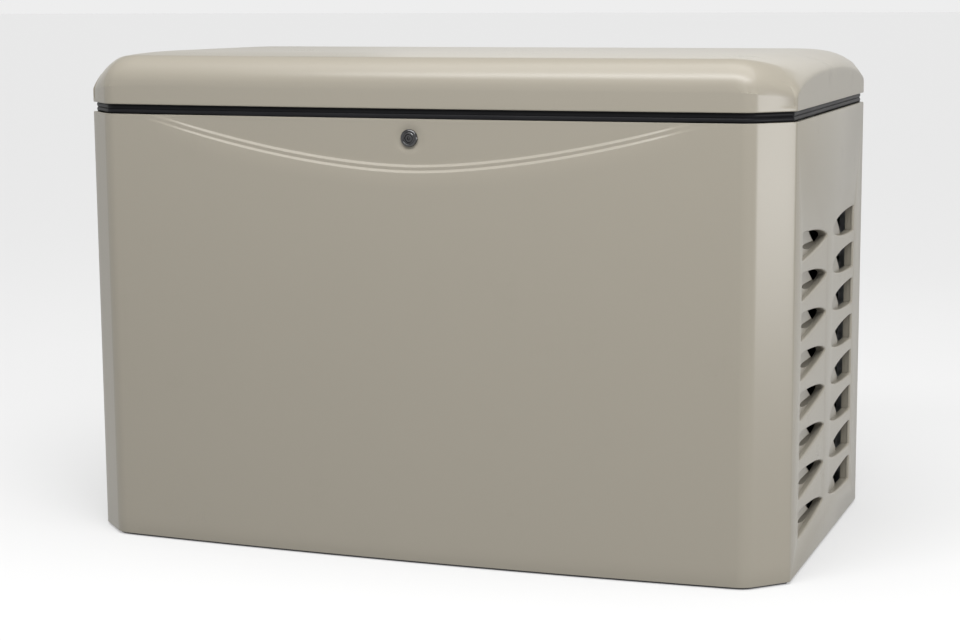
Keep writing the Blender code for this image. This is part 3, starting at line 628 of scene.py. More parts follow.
@dataclass
class Plan:
    """The enclosure's outline seen from above.

    Attributes:
        half_length: Half its length.
        half_width: Half its width over the flat sides.
        bow: How far the front bows out.
        chamfer: Size of the corner chamfers.
        skin: Thickness of the panels.
        bend: Radius of the soft fold between a long side and its chamfer.
        crease: Radius of the tight fold between a chamfer and its end.
        tight_least: Least radius of the tight fold on an inner outline.
        soft_least: Least radius of the soft fold on an inner outline.
        corner_room: Length that each corner takes from the long side's straight run.
        end_room: Length that each corner takes from the end's straight run.
        end_half: Half the length of an end panel.
    """

    half_length: float = 0.600
    half_width: float = 0.343
    bow: float = 0.0155
    chamfer: float = 0.058
    skin: float = 0.005
    bend: float = 0.035
    crease: float = 0.0085
    tight_least: float = 0.006
    soft_least: float = 0.014
    corner_room: float = 0.024
    end_room: float = 0.006
    end_half: float = 0.2812

    @property
    def crease_y(self) -> float:
        """Distance from the middle to where a chamfer meets its end."""
        return self.half_width - self.chamfer

    @staticmethod
    def arc(before: Vector, corner: Vector, after: Vector, radius: float, steps: int) -> list:
        """Rounds one corner.

        Args:
            before: A point on the side before the corner.
            corner: The corner.
            after: A point on the side after it.
            radius: Radius of the rounding.
            steps: How many steps it has.

        Returns:
            The rounding's points.
        """
        first = (before - corner).normalized()
        last = (after - corner).normalized()
        half = first.angle(last) / 2
        middle = corner + (first + last).normalized() * (radius / math.sin(half))
        start = corner + first * (radius / math.tan(half)) - middle
        stop = corner + last * (radius / math.tan(half)) - middle
        sweep = start.angle(stop)
        points = []
        for i in range(steps + 1):
            near = math.sin((1 - i / steps) * sweep) / math.sin(sweep)
            far = math.sin(i / steps * sweep) / math.sin(sweep)
            points.append(middle + start * near + stop * far)
        return points

    def front_y(self, x: float, inset: float = 0.0) -> float:
        """Where the bowed front lies at a place along it."""
        reach = self.half_length - self.chamfer - MITRE * inset
        return -self.half_width + inset - self.bow * max(0.0, 1 - (x / reach) ** 2)

    def corner(self, inset: float, side: int, front: bool, steps: int = 10) -> list[Vector]:
        """Rounds both folds of one chamfered corner.

        Args:
            inset: How far inside the outline it runs.
            side: 1 at the right end, -1 at the left.
            front: Whether it is a front corner.
            steps: How many steps the soft bend has.

        Returns:
            Points from the end towards the middle of the long side.
        """
        end = Vector((self.half_length - inset, 0))
        crease = Vector((self.half_length - inset, self.crease_y - MITRE * inset))
        bend = Vector(
            (self.half_length - self.chamfer - MITRE * inset, self.half_width - inset)
        )
        middle = Vector((0, self.half_width - inset))
        tight = max(self.crease - inset, self.tight_least)
        soft = max(self.bend - inset, self.soft_least)
        points = self.arc(end, crease, bend, tight, 4)
        between = self.arc(crease, bend, middle, soft, steps)
        points += [points[-1].lerp(between[0], t / 4) for t in (1, 2, 3)] + between
        flip = -1 if front else 1
        points = [Vector((side * p.x, flip * p.y)) for p in points]
        if front:
            for point in points:
                point.y += self.front_y(point.x, inset) + self.half_width - inset
        return points

    def front(self, inset: float, count: int, steps: int = 10) -> list[Vector]:
        """The front between the ends' creases, from right to left."""
        reach = self.half_length - self.chamfer - MITRE * inset - self.corner_room
        run = [reach * (1 - 2 * i / count) for i in range(count + 1)]
        bowed = [Vector((x, self.front_y(x, inset))) for x in run]
        left = self.corner(inset, -1, True, steps)[::-1]
        return self.corner(inset, 1, True, steps) + bowed + left

    def rear(self, inset: float, count: int, steps: int = 10) -> list[Vector]:
        """The rear between the ends' creases, from left to right."""
        reach = self.half_length - self.chamfer - MITRE * inset - self.corner_room
        run = [-reach * (1 - 2 * i / count) for i in range(count + 1)]
        flat = [Vector((x, self.half_width - inset)) for x in run]
        right = self.corner(inset, 1, False, steps)[::-1]
        return self.corner(inset, -1, False, steps) + flat + right

    def outline(self, inset: float, count: int = 96, ends: int = 28) -> list[Vector]:
        """The whole outline.

        Args:
            inset: How far inside the enclosure's outside it runs.
            count: How many steps the front and the rear have.
            ends: How many steps each end has.

        Returns:
            The closed outline's points.
        """
        reach = self.crease_y - MITRE * inset - self.end_room
        run = [reach * (1 - 2 * i / ends) for i in range(ends + 1)]
        right = [Vector((self.half_length - inset, y)) for y in run]
        left = [Vector((-p.x, -p.y)) for p in right]
        return self.front(inset, count) + left + self.rear(inset, count) + right


PLAN = Plan()


def smooth(share: float) -> float:
    """An even rise from nought to one."""
    share = min(max(share, 0.0), 1.0)
    return share * share * (3 - 2 * share)


@dataclass
class Shell:
    """The enclosure's moulded skins: front, rear, ends and lid.

    Attributes:
        bottom: Height of the panels' lower edge.
        top: Height of their upper edge.
        crescent_half: Half the length of the front's crescent recess.
        crescent_low: Height of its lowest point.
        crescent_depth: How far it steps in.
        crescent_step: Width of its stepped edge.
        lock_z: Height of the lock's axis.
        seat_radius: Radius of the lock's pressed seat.
        seat_depth: How deep the seat is pressed.
        press_half: Half the length of the rear's pressed panel.
        press_z: Lowest and highest edge of the pressed panel.
        press_depth: How deep it is pressed.
        lid_bottom: Height of the lid's lower edge.
        crown: Height of the lid's top.
        band: Height where the lid's roll starts.
        roll_radius: Radius of the roll.
        roll_width: Inset at which the roll stops.
        merge: Width over which the roll turns from a side to a chamfer.
        spread: Distance over which the top rises from the roll to the crown.
        fall: How steeply the top falls to the rear.
        fall_from: Where that fall starts.
        end_arch: Height of the arch over each end.
        arch_drop: How fast the arch falls away from the middle.
        arch_power: The power that its fall follows.
        end_reach: How far in from an end the arch blends into the top.
        end_hold: Share of that blend that is used.
        end_power: The power that shapes the blend.
    """

    bottom: float = 0.004
    top: float = 0.715
    crescent_half: float = 0.470
    crescent_low: float = 0.636
    crescent_depth: float = 0.006
    crescent_step: float = 0.014
    lock_z: float = 0.685
    seat_radius: float = 0.0218
    seat_depth: float = 0.0018
    press_half: float = 0.47
    press_z: tuple[float, float] = (0.30, 0.585)
    press_depth: float = 0.004
    lid_bottom: float = 0.731
    crown: float = 0.814
    band: float = 0.762
    roll_radius: float = 0.050
    roll_width: float = 0.036
    merge: float = 0.016
    spread: float = 0.12
    fall: float = 0.010
    fall_from: float = -0.25
    end_arch: float = 0.7725
    arch_drop: float = 0.574
    arch_power: float = 2.4
    end_reach: float = 0.10
    end_hold: float = 0.97
    end_power: float = 2.2

    def build(self) -> None:
        """Builds every skin."""
        self.front()
        self.rear()
        for name, side in (("right_end_panel", 1), ("left_end_panel", -1)):
            self.end(name, side)
        self.lid()

    def crescent_edge(self, x: float) -> float:
        """Height of the crescent's lower edge at a place along it."""
        share = abs(x) / self.crescent_half
        rise = (share * share + 0.006) ** 0.85
        return self.crescent_low + (self.top - self.crescent_low) * rise

    def crescent_shape(self, share: float) -> float:
        """How far the two small steps of the crescent's edge have come in."""
        return 0.5 * smooth(share / 0.36) + 0.5 * smooth((share - 0.64) / 0.36)

    def front(self) -> None:
        """The bowed front with its crescent recess and the seat of the lock."""
        path = PLAN.front(0, 150, 14)
        below, step, above = 26, 22, 14

        def place(column: int, row: int) -> tuple[float, float, float]:
            """A point of the panel."""
            x, y = path[column]
            edge = self.crescent_edge(x)
            share = min(abs(x) / self.crescent_half, 1.0)
            depth = self.crescent_depth * (1 - share**6)
            width = self.crescent_step
            low = edge - width / 2
            spare = (below + step + above - row) * 0.0004
            if row <= below:
                z = self.bottom + (low - self.bottom) * row / below
            elif row <= below + step:
                z = low + width * (row - below) / step
            else:
                high = low + width
                z = high + (self.top - high) * (row - below - step) / above
            z = min(z, self.top - spare)
            return x, y + depth * self.crescent_shape((z - low) / width), z

        form = Form().weave(len(path), below + step + above + 1, place, False)
        self._thicken(form)
        self._seat(form)
        form.piece("front_panel_skin", SHELL, "front", ["front_panel"], 30)

    def _thicken(self, form: Form) -> None:
        """Turns an open skin outwards, gives it its thickness and rounds its outer rim.

        Args:
            form: The open skin.
        """
        bm = form.bm
        bm.normal_update()
        middle = Vector((0, 0, 0.4))
        lean = sum(f.normal.dot(f.calc_center_median() - middle) for f in bm.faces)
        if lean < 0:
            bmesh.ops.reverse_faces(bm, faces=bm.faces[:])
        rim = [e for e in bm.edges if e.is_boundary]
        bmesh.ops.solidify(bm, geom=bm.faces[:], thickness=PLAN.skin)
        form.soften([e for e in rim if e.is_valid], 0.0016, 3)

    def _seat(self, form: Form) -> None:
        """Presses the lock's round seat into the front."""
        soft = 0.0035
        for vert in form.bm.verts:
            reach = math.hypot(vert.co.x, vert.co.z - self.lock_z)
            if reach < self.seat_radius:
                vert.co.y += self.seat_depth * smooth((self.seat_radius - reach) / soft)

    def rear(self) -> None:
        """The flat rear with its chamfers and pressed stiffening panel."""
        path = PLAN.rear(0, 120, 14)
        rows = 72
        soft = 0.012

        def place(column: int, row: int) -> tuple[float, float, float]:
            """A point of the panel."""
            x, y = path[column]
            z = self.bottom + (self.top - self.bottom) * row / rows
            low, high = self.press_z
            side = min(self.press_half - abs(x), high - z, z - low)
            return x, y - self.press_depth * smooth(side / soft), z

        form = Form().weave(len(path), rows + 1, place, False)
        self._thicken(form)
        form.piece("rear_panel_skin", SHELL, "enclosure", ["rear_panel"], 30)

    def end(self, name: str, side: int) -> None:
        """A flat end with its scooped louvres.

        Args:
            name: The CAD node that it stands for.
            side: 1 for the right end, -1 for the left.
        """
        Louvres(side=side).build(name, self.bottom, self.top)

    def lid_height(self, x: float, y: float) -> float:
        """Height of the lid's top over a point of the plan."""
        width, length = PLAN.half_width, PLAN.half_length
        front = width - y
        if y <= 0:
            reach = length - PLAN.chamfer
            front = y + width + PLAN.bow * max(0.0, 1 - (x / reach) ** 2)
        chamfer = (length + width - PLAN.chamfer - abs(x) - abs(y)) * math.sqrt(0.5)
        near = min(front, chamfer)
        far = max(front, chamfer)
        near -= self.merge / 4 * max(0.0, 1 - (far - near) / self.merge) ** 2
        inset = max(0.0, near)
        rolled = min(inset, self.roll_width)
        radius = self.roll_radius
        edge = self.band + math.sqrt(radius**2 - (radius - rolled) ** 2)
        brow = self.band + math.sqrt(radius**2 - (radius - self.roll_width) ** 2)
        spread = min((inset - rolled) / self.spread, 1.0)
        flat = edge + (self.crown - brow) * (1 - (1 - spread) ** 2)
        flat -= self.fall * max(0.0, y - self.fall_from)
        arch = self.end_arch - self.arch_drop * abs(y) ** self.arch_power
        share = min(1.0, max(0.0, 1 - (length - abs(x)) / self.end_reach))
        share = (1 - (self.end_hold * share) ** self.end_power) ** (1 / self.end_power)
        return arch + (flat - arch) * share

    def lid(self) -> None:
        """The crowned lid with its rolled front, arched ends and lower band."""
        insets = [0.0, 0.0006, 0.0014, 0.0024, 0.0036, 0.005, 0.0066, 0.0086, 0.011, 0.014]
        insets += [0.0175, 0.0215, 0.026, 0.031, 0.0345, 0.0375, 0.042]
        shrinks = [1 - 0.02 * i for i in range(1, 48)]
        outlines = {inset: PLAN.outline(inset) for inset in insets}
        columns = len(outlines[0.0])
        skirt = 12
        rows = skirt + len(insets) + len(shrinks)

        def place(column: int, row: int) -> tuple[float, float, float]:
            """A point of the lid."""
            if row <= skirt:
                x, y = outlines[0.0][column]
                high = self.lid_height(x, y)
                return x, y, self.lid_bottom + (high - self.lid_bottom) * row / skirt
            if row < skirt + len(insets):
                x, y = outlines[insets[row - skirt]][column]
                return x, y, self.lid_height(x, y)
            shrink = shrinks[row - skirt - len(insets)]
            x, y = outlines[insets[-1]][column] * shrink
            return x, y, self.lid_height(x, y)

        form = Form().weave(columns, rows, place, True)
        near_end, above = PLAN.half_length - 0.012, self.lid_bottom + 0.006
        crease = [v for v in form.bm.verts if abs(v.co.x) > near_end and v.co.z > above]
        for _ in range(3):
            bmesh.ops.smooth_vert(
                form.bm, verts=crease, factor=0.5, use_axis_x=True, use_axis_y=False,
                use_axis_z=True,
            )
        cap = [e for e in form.bm.edges if e.is_boundary and e.verts[0].co.z > self.band]
        bmesh.ops.contextual_create(form.bm, geom=cap)
        self._thicken(form)
        form.piece("lid_skin", SHELL, "lid", ["lid"], 30)


@dataclass(frozen=True)
class Leaf:
    """The outline of one column's louvres.

    Attributes:
        wide: Where the straight, wide end lies.
        tip: Where the rounded tip lies.
        taper: Power that the taper follows along the leaf.
        belly: Power that shapes its sides.
        droop: How far the tip hangs, as a share of half the wide end.
        slot: Share of the leaf, from the front, where its slot begins.
        near: Depth of its vane at the front, as a share of the scoop.
        fall: How much deeper the vane lies at its slot.
    """

    wide: float
    tip: float
    taper: float
    belly: float
    droop: float
    slot: float
    near: float
    fall: float

    def around(self, angle: float) -> tuple[float, float]:
        """Where the outline runs, from an angle round its middle.

        Args:
            angle: The angle, nought at the tip.

        Returns:
            The share of the way to the tip, and the height as a share of half the wide end.
        """
        spread = abs(angle) / math.pi
        sign = 1 if angle >= 0 else -1
        if spread < 0.72:
            share = math.cos(spread / 0.72 * math.pi / 2)
            return share, sign * self.half(share) - self.droop * share**4
        return 0.0, sign * (1 - spread) / 0.28

    def half(self, share: float) -> float:
        """Half the height at a share of the way to the tip."""
        return max(0.0, 1 - share**self.taper) ** self.belly

    def along(self, share: float) -> float:
        """The place at a share of the way to the tip."""
        return self.wide + (self.tip - self.wide) * share


@dataclass
class Louvres:
    """Two columns of leaf-shaped louvres, each with a scoop moulded behind it.

    Attributes:
        side: 1 for the right end, -1 for the left.
        top: Height of the top row's middle.
        pitch: Distance between rows.
        rows: How many rows there are.
        half_height: Half the height of a louvre's wide end.
        leaves: The outline of each column, from the front.
        deep: Depth of a scoop.
        slant: How far a slot leans, as a share of the leaf.
        sides: How many steps an outline has.
        lip: Width of the rounding round each louvre.
        lap: How far the scoops reach into the skin.
        wall_thick: Thickness of a scoop's wall.
        sheet: Thickness of a vane.
        twist: How much deeper a vane lies at its upper edge.
    """

    side: int
    top: float = 0.5195
    pitch: float = 0.0629
    rows: int = 8
    half_height: float = 0.0215
    leaves: tuple[Leaf, Leaf] = (
        Leaf(-0.228, -0.030, 1.35, 0.60, 0.12, 0.64, 0.32, 0.42),
        Leaf(0.209, 0.024, 2.3, 0.54, 0.0, 0.54, 0.34, 0.42),
    )
    deep: float = 0.0105
    slant: float = 0.14
    sides: int = 50
    lip: float = 0.0034
    lap: float = 0.0006
    wall_thick: float = 0.0016
    sheet: float = 0.0014
    twist: float = 0.22

    def leaf(self, form: Form, leaf: Leaf, height: float) -> None:
        """Draws one louvre's outline on the end's outer face.

        Args:
            form: The mesh that takes it.
            leaf: The louvre's outline.
            height: Height of its middle.
        """
        made = bmesh.ops.create_circle(form.bm, cap_ends=False, segments=self.sides, radius=1.0)
        for vert in made["verts"]:
            share, rise = leaf.around(math.atan2(vert.co.y, vert.co.x))
            z = height + rise * self.half_height
            vert.co = (PLAN.half_length * self.side, leaf.along(share), z)

    def build(self, name: str, bottom: float, top: float) -> None:
        """Builds the end panel round its louvres.

        Args:
            name: The CAD node that it stands for.
            bottom: Height of its lower edge.
            top: Height of its upper edge.
        """
        form = Form()
        bm = form.bm
        outer = PLAN.half_length * self.side
        edge = PLAN.end_half
        corners = [(outer, -edge, bottom), (outer, edge, bottom), (outer, edge, top),
                   (outer, -edge, top)]
        frame_verts = [bm.verts.new(p) for p in corners]
        for i in range(4):
            bm.edges.new((frame_verts[i - 1], frame_verts[i]))
        for leaf in self.leaves:
            for row in range(self.rows):
                self.leaf(form, leaf, self.top - row * self.pitch)
        bmesh.ops.triangle_fill(
            bm, use_beauty=True, use_dissolve=False, edges=bm.edges[:],
            normal=(self.side, 0, 0),
        )
        swept = bmesh.ops.extrude_face_region(bm, geom=bm.faces[:])["geom"]
        moved = [v for v in swept if isinstance(v, bmesh.types.BMVert)]
        bmesh.ops.translate(bm, verts=moved, vec=(-PLAN.skin * self.side, 0, 0))
        bmesh.ops.recalc_face_normals(bm, faces=bm.faces[:])
        outer_rim = [
            e for e in bm.edges
            if all(abs(v.co.x - outer) < 1e-6 for v in e.verts)
            and any(abs(f.normal.x) < 0.5 for f in e.link_faces)
        ]
        border = [e for e in outer_rim if e.calc_length() > 0.2]
        form.soften([e for e in outer_rim if e not in border], self.lip, 4)
        form.soften([e for e in border if e.is_valid], 0.0010, 2)
        form.piece(f"{name}_skin", SHELL, "enclosure", [name], 30)
        self.scoops(name)

    def scoops(self, name: str) -> None:
        """Builds the scoops behind the louvres, one piece for each column.

        Args:
            name: The end panel's name.
        """
        for index, leaf in enumerate(self.leaves):
            form = Form()
            for row in range(self.rows):
                height = self.top - row * self.pitch
                self.wall(form, leaf, height)
                self.vane(form, leaf, height)
            form.piece(f"{name}_scoops_{index + 1}", SHELL, "enclosure", (), 40)

    def wall(self, form: Form, leaf: Leaf, height: float) -> None:
        """Builds the wall that runs inwards round one louvre.

        Args:
            form: The mesh that takes it.
            leaf: The louvre's outline.
            height: Height of its middle.
        """
        inner = (PLAN.half_length - PLAN.skin + self.lap) * self.side
        rows = ((0.0, 0.0), (0.35, 0.0), (0.7, 0.0), (1.0, 0.0), (1.0, 1.0), (0.5, 1.0),
                (0.04, 1.0), (0.0, 0.0))
        thick = self.wall_thick
        middle = leaf.along(0.5)

        def place(column: int, row: int) -> tuple[float, float, float]:
            """A point of the wall: down its inside, then up its outside."""
            share, rise = leaf.around(-math.pi + math.tau * column / self.sides)
            down, out = rows[row]
            y = leaf.along(share)
            y += out * thick * max(-1.0, min(1.0, (y - middle) / 0.05))
            z = height + rise * (self.half_height + out * thick)
            return inner - self.deep * down * self.side, y, z

        form.weave(self.sides, len(rows), place, True)
        bmesh.ops.remove_doubles(form.bm, verts=form.bm.verts[:], dist=1e-6)

    def vane(self, form: Form, leaf: Leaf, height: float) -> None:
        """Builds the domed vane that closes a scoop up to its slot.

        Args:
            form: The mesh that takes it.
            leaf: The louvre's outline.
            height: Height of its middle.
        """
        inner = (PLAN.half_length - PLAN.skin) * self.side
        along, across = 16, 10
        tip_first = leaf.wide > leaf.tip

        def place(column: int, row: int) -> tuple[float, float, float]:
            """A point of the vane: over its outer face, then back under it."""
            under = row > across
            turn = 2 * across + 1 - row if under else row
            rise = 2 * turn / across - 1
            reach = leaf.slot - self.slant * rise
            front = reach * column / along
            share = 1 - front if tip_first else front
            half = max(0.02, leaf.half(share)) * (self.half_height + self.lap)
            near = smooth((front + self.twist * (rise + 1)) / 1.1)
            depth = self.deep * (leaf.near + leaf.fall * near) + self.sheet * under
            z = height + rise * half - leaf.droop * share**4 * self.half_height
            return inner - depth * self.side, leaf.along(share), z

        known = set(form.bm.verts)
        form.weave(along + 1, 2 * across + 2, place, False)
        made = [v for v in form.bm.verts if v not in known]
        bmesh.ops.remove_doubles(form.bm, verts=made, dist=1e-6)
        self._close(form, made)

    @staticmethod
    def _close(form: Form, made: list[bmesh.types.BMVert]) -> None:
        """Closes the open rim of a folded sheet.

        Args:
            form: The mesh that holds it.
            made: The sheet's vertices.
        """
        inside = {v for v in made if v.is_valid}
        rim = [e for e in form.bm.edges if e.is_boundary and e.verts[0] in inside]
        bmesh.ops.holes_fill(form.bm, edges=rim, sides=0)


@dataclass
class Seal:
    """The two-ribbed rubber seal between the panels and the lid.

    Attributes:
        low: Its lower edge.
        high: Its upper edge.
        outer: Inset of its outer face between the ribs.
        inner: Inset of its inner face.
        rib: How far a rib stands out.
    """

    low: float = 0.7153
    high: float = 0.7307
    outer: float = 0.0072
    inner: float = 0.0125
    rib: float = 0.0017

    def build(self) -> None:
        """Builds the seal as one ribbed ring."""
        tall = self.high - self.low
        steps = 26
        profile = []
        for i in range(steps + 1):
            share = i / steps
            rib = abs(math.sin(share * math.pi * 2)) ** 0.6
            profile.append((self.outer - self.rib * rib, self.low + tall * share))
        profile += [(self.inner, self.high), (self.inner, self.low)]
        outlines = [PLAN.outline(inset, 48, 14) for inset, _ in profile]

        def place(column: int, row: int) -> tuple[float, float, float]:
            """A point of the seal."""
            row = row % len(profile)
            return (*outlines[row][column], profile[row][1])

        form = Form().weave(len(outlines[0]), len(profile) + 1, place, True)
        bmesh.ops.remove_doubles(form.bm, verts=form.bm.verts[:], dist=1e-6)
        form.piece("lid_seal_rubber", SEAL, "lid", ["lid_seal"], 50)


@dataclass
class Lock:
    """The quarter-turn lock in the crescent.

    Attributes:
        seat: Where its head bears on the panel.
        height: Height of its axis.
    """

    seat: float = -0.3505
    height: float = 0.685

    def build(self) -> None:
        """Builds the housing, the turning barrel and the pawl's dress."""
        centre = (0, self.seat, self.height)
        profile = [(0.0064, -0.0020), (0.0070, -0.0042), (0.0086, -0.0046), (0.0094, -0.0040),
                   (0.0102, -0.0048), (0.0124, -0.0046), (0.0136, -0.0036), (0.0140, -0.0020),
                   (0.0140, -0.0003), (0.0120, -0.0003), (0.0120, 0.0200), (0.0064, 0.0200)]
        form = Form().turn(profile, centre, (0, 1, 0), 64, True)
        form.piece("lock_head", LOCK_BLACK, "front", ["lock_housing"], 50)
        nut = Form()
        nut.rod((0, self.seat + 0.0054, self.height), (0, self.seat + 0.0104, self.height),
                0.0170, 6)
        nut.soften(nut.sharp(), 0.0006, 2)
        nut.piece("lock_nut", ZINC, "front")
        profile = [(0, -0.0012), (0.0026, -0.0012), (0.0030, -0.0034), (0.0044, -0.0040),
                   (0.0058, -0.0034), (0.0060, -0.0022), (0.0060, 0.0270), (0, 0.0270)]
        form = Form().turn(profile, centre, (0, 1, 0), 48)
        form.piece("lock_core", LOCK_BLACK, "lock", ["lock_barrel"], 50)
        socket = Form()
        socket.rod((0, self.seat - 0.0032, self.height), (0, self.seat - 0.0011, self.height),
                   0.0024, 3)
        socket.piece("lock_key_post", LOCK_BLACK, "lock")


@dataclass
class Fasteners:
    """Bolts, screws and rivets that hold the frame, the hinges and the engine.

    Attributes:
        cover_top: Distance of a valve cover's top from the crankshaft's axis.
        hinge_x: Distance of each hinge from the middle.
        hinge_face: Where the hinges' plates are bolted.
    """

    cover_top: float = 0.3240
    hinge_x: float = 0.380
    hinge_face: float = 0.3453

    def bolts(
        self,
        name: str,
        finish: Finish,
        body: str,
        axis: Sequence[float],
        radius: float,
        places: Iterable[Sequence[float]],
    ) -> None:
        """Builds one set of bolts.

        Args:
            name: The set's name.
            finish: Its surface.
            body: The body that carries it.
            axis: The way the heads point.
            radius: Half a head's width over its corners.
            places: Where each one bears.
        """
        form = Form()
        for place in places:
            form.bolt(place, axis, radius)
        form.piece(name, finish, body)

    def build(self) -> None:
        """Builds every set."""
        for name, side in (("left", -1), ("right", 1)):
            middle = side * self.hinge_x
            self.bolts(f"hinge_bolts_{name}", ZINC, "enclosure", (0, 1, 0), 0.0048,
                       [(middle + x, self.hinge_face, 0.694) for x in (-0.032, 0.0, 0.032)])
            self.bolts(f"hinge_lid_bolts_{name}", ZINC, "lid", (0, 1, 0), 0.0032,
                       [(middle + x, self.hinge_face, 0.7425) for x in (-0.0085, 0.0085)])
        self.bolts("mount_bolts", ZINC, "enclosure", (0, 0, 1), 0.0085,
                   [(x, y, 0.082) for x in (-0.100, 0.335) for y in (-0.100, 0.140)])
        for name, side, middle in (("front", -1, 0.290), ("rear", 1, 0.240)):
            lean = Vector((0, side, 1)).normalized()
            across = Vector((0, 1, -side)).normalized()
            top = Vector((middle, CRANK_Y, CRANK_Z)) + lean * self.cover_top
            self.bolts(f"valve_cover_bolts_{name}", STEEL, "enclosure", lean, 0.0046,
                       [top + across * a + Vector((x, 0, 0))
                        for x in (-0.034, 0.034) for a in (-0.020, 0.020)])
        turns = [math.radians(45 + 90 * i) for i in range(4)]
        self.bolts("alternator_bolts", ZINC, "enclosure", (-1, 0, 0), 0.0062,
                   [(-0.135, CRANK_Y + 0.098 * math.cos(a),
                     CRANK_Z + 0.098 * math.sin(a)) for a in turns])
        self.bolts("alternator_flange_bolts", ZINC, "enclosure", (1, 0, 0), 0.0055,
                   [(0.470, CRANK_Y + 0.128 * math.cos(a),
                     CRANK_Z + 0.128 * math.sin(a)) for a in turns])
        rim = [math.radians(22.5 + 45 * i) for i in range(8)]
        self.bolts("regulator_bolts", ZINC, "enclosure", (0, -1, 0), 0.0030,
                   [(0.060 + 0.0495 * math.cos(a), 0.3025, 0.400 + 0.0495 * math.sin(a))
                    for a in rim])
        self.bolts("shaft_bolt", STEEL, "running_gear", (1, 0, 0), 0.0115,
                   [(0.4450, CRANK_Y, CRANK_Z)])
        self.bolts("drain_plug", BRASS, "enclosure", (0, -1, 0), 0.0095, [(0.205, -0.115, 0.102)])
        self.bolts("breaker_screws", ZINC, "enclosure", (0, -1, 0), 0.0034,
                   [(x, -0.325, z) for x in (-0.234, -0.110) for z in (0.430, 0.590)])
        rivets = [(-0.244, y, z) for y in (-0.310, 0.310) for z in (0.08, 0.22, 0.36, 0.50, 0.62)]
        rivets += [(-0.244, y, 0.625) for y in (-0.20, -0.07, 0.07, 0.20)]
        self.bolts("bulkhead_bolts", ZINC, "enclosure", (1, 0, 0), 0.0042, rivets)


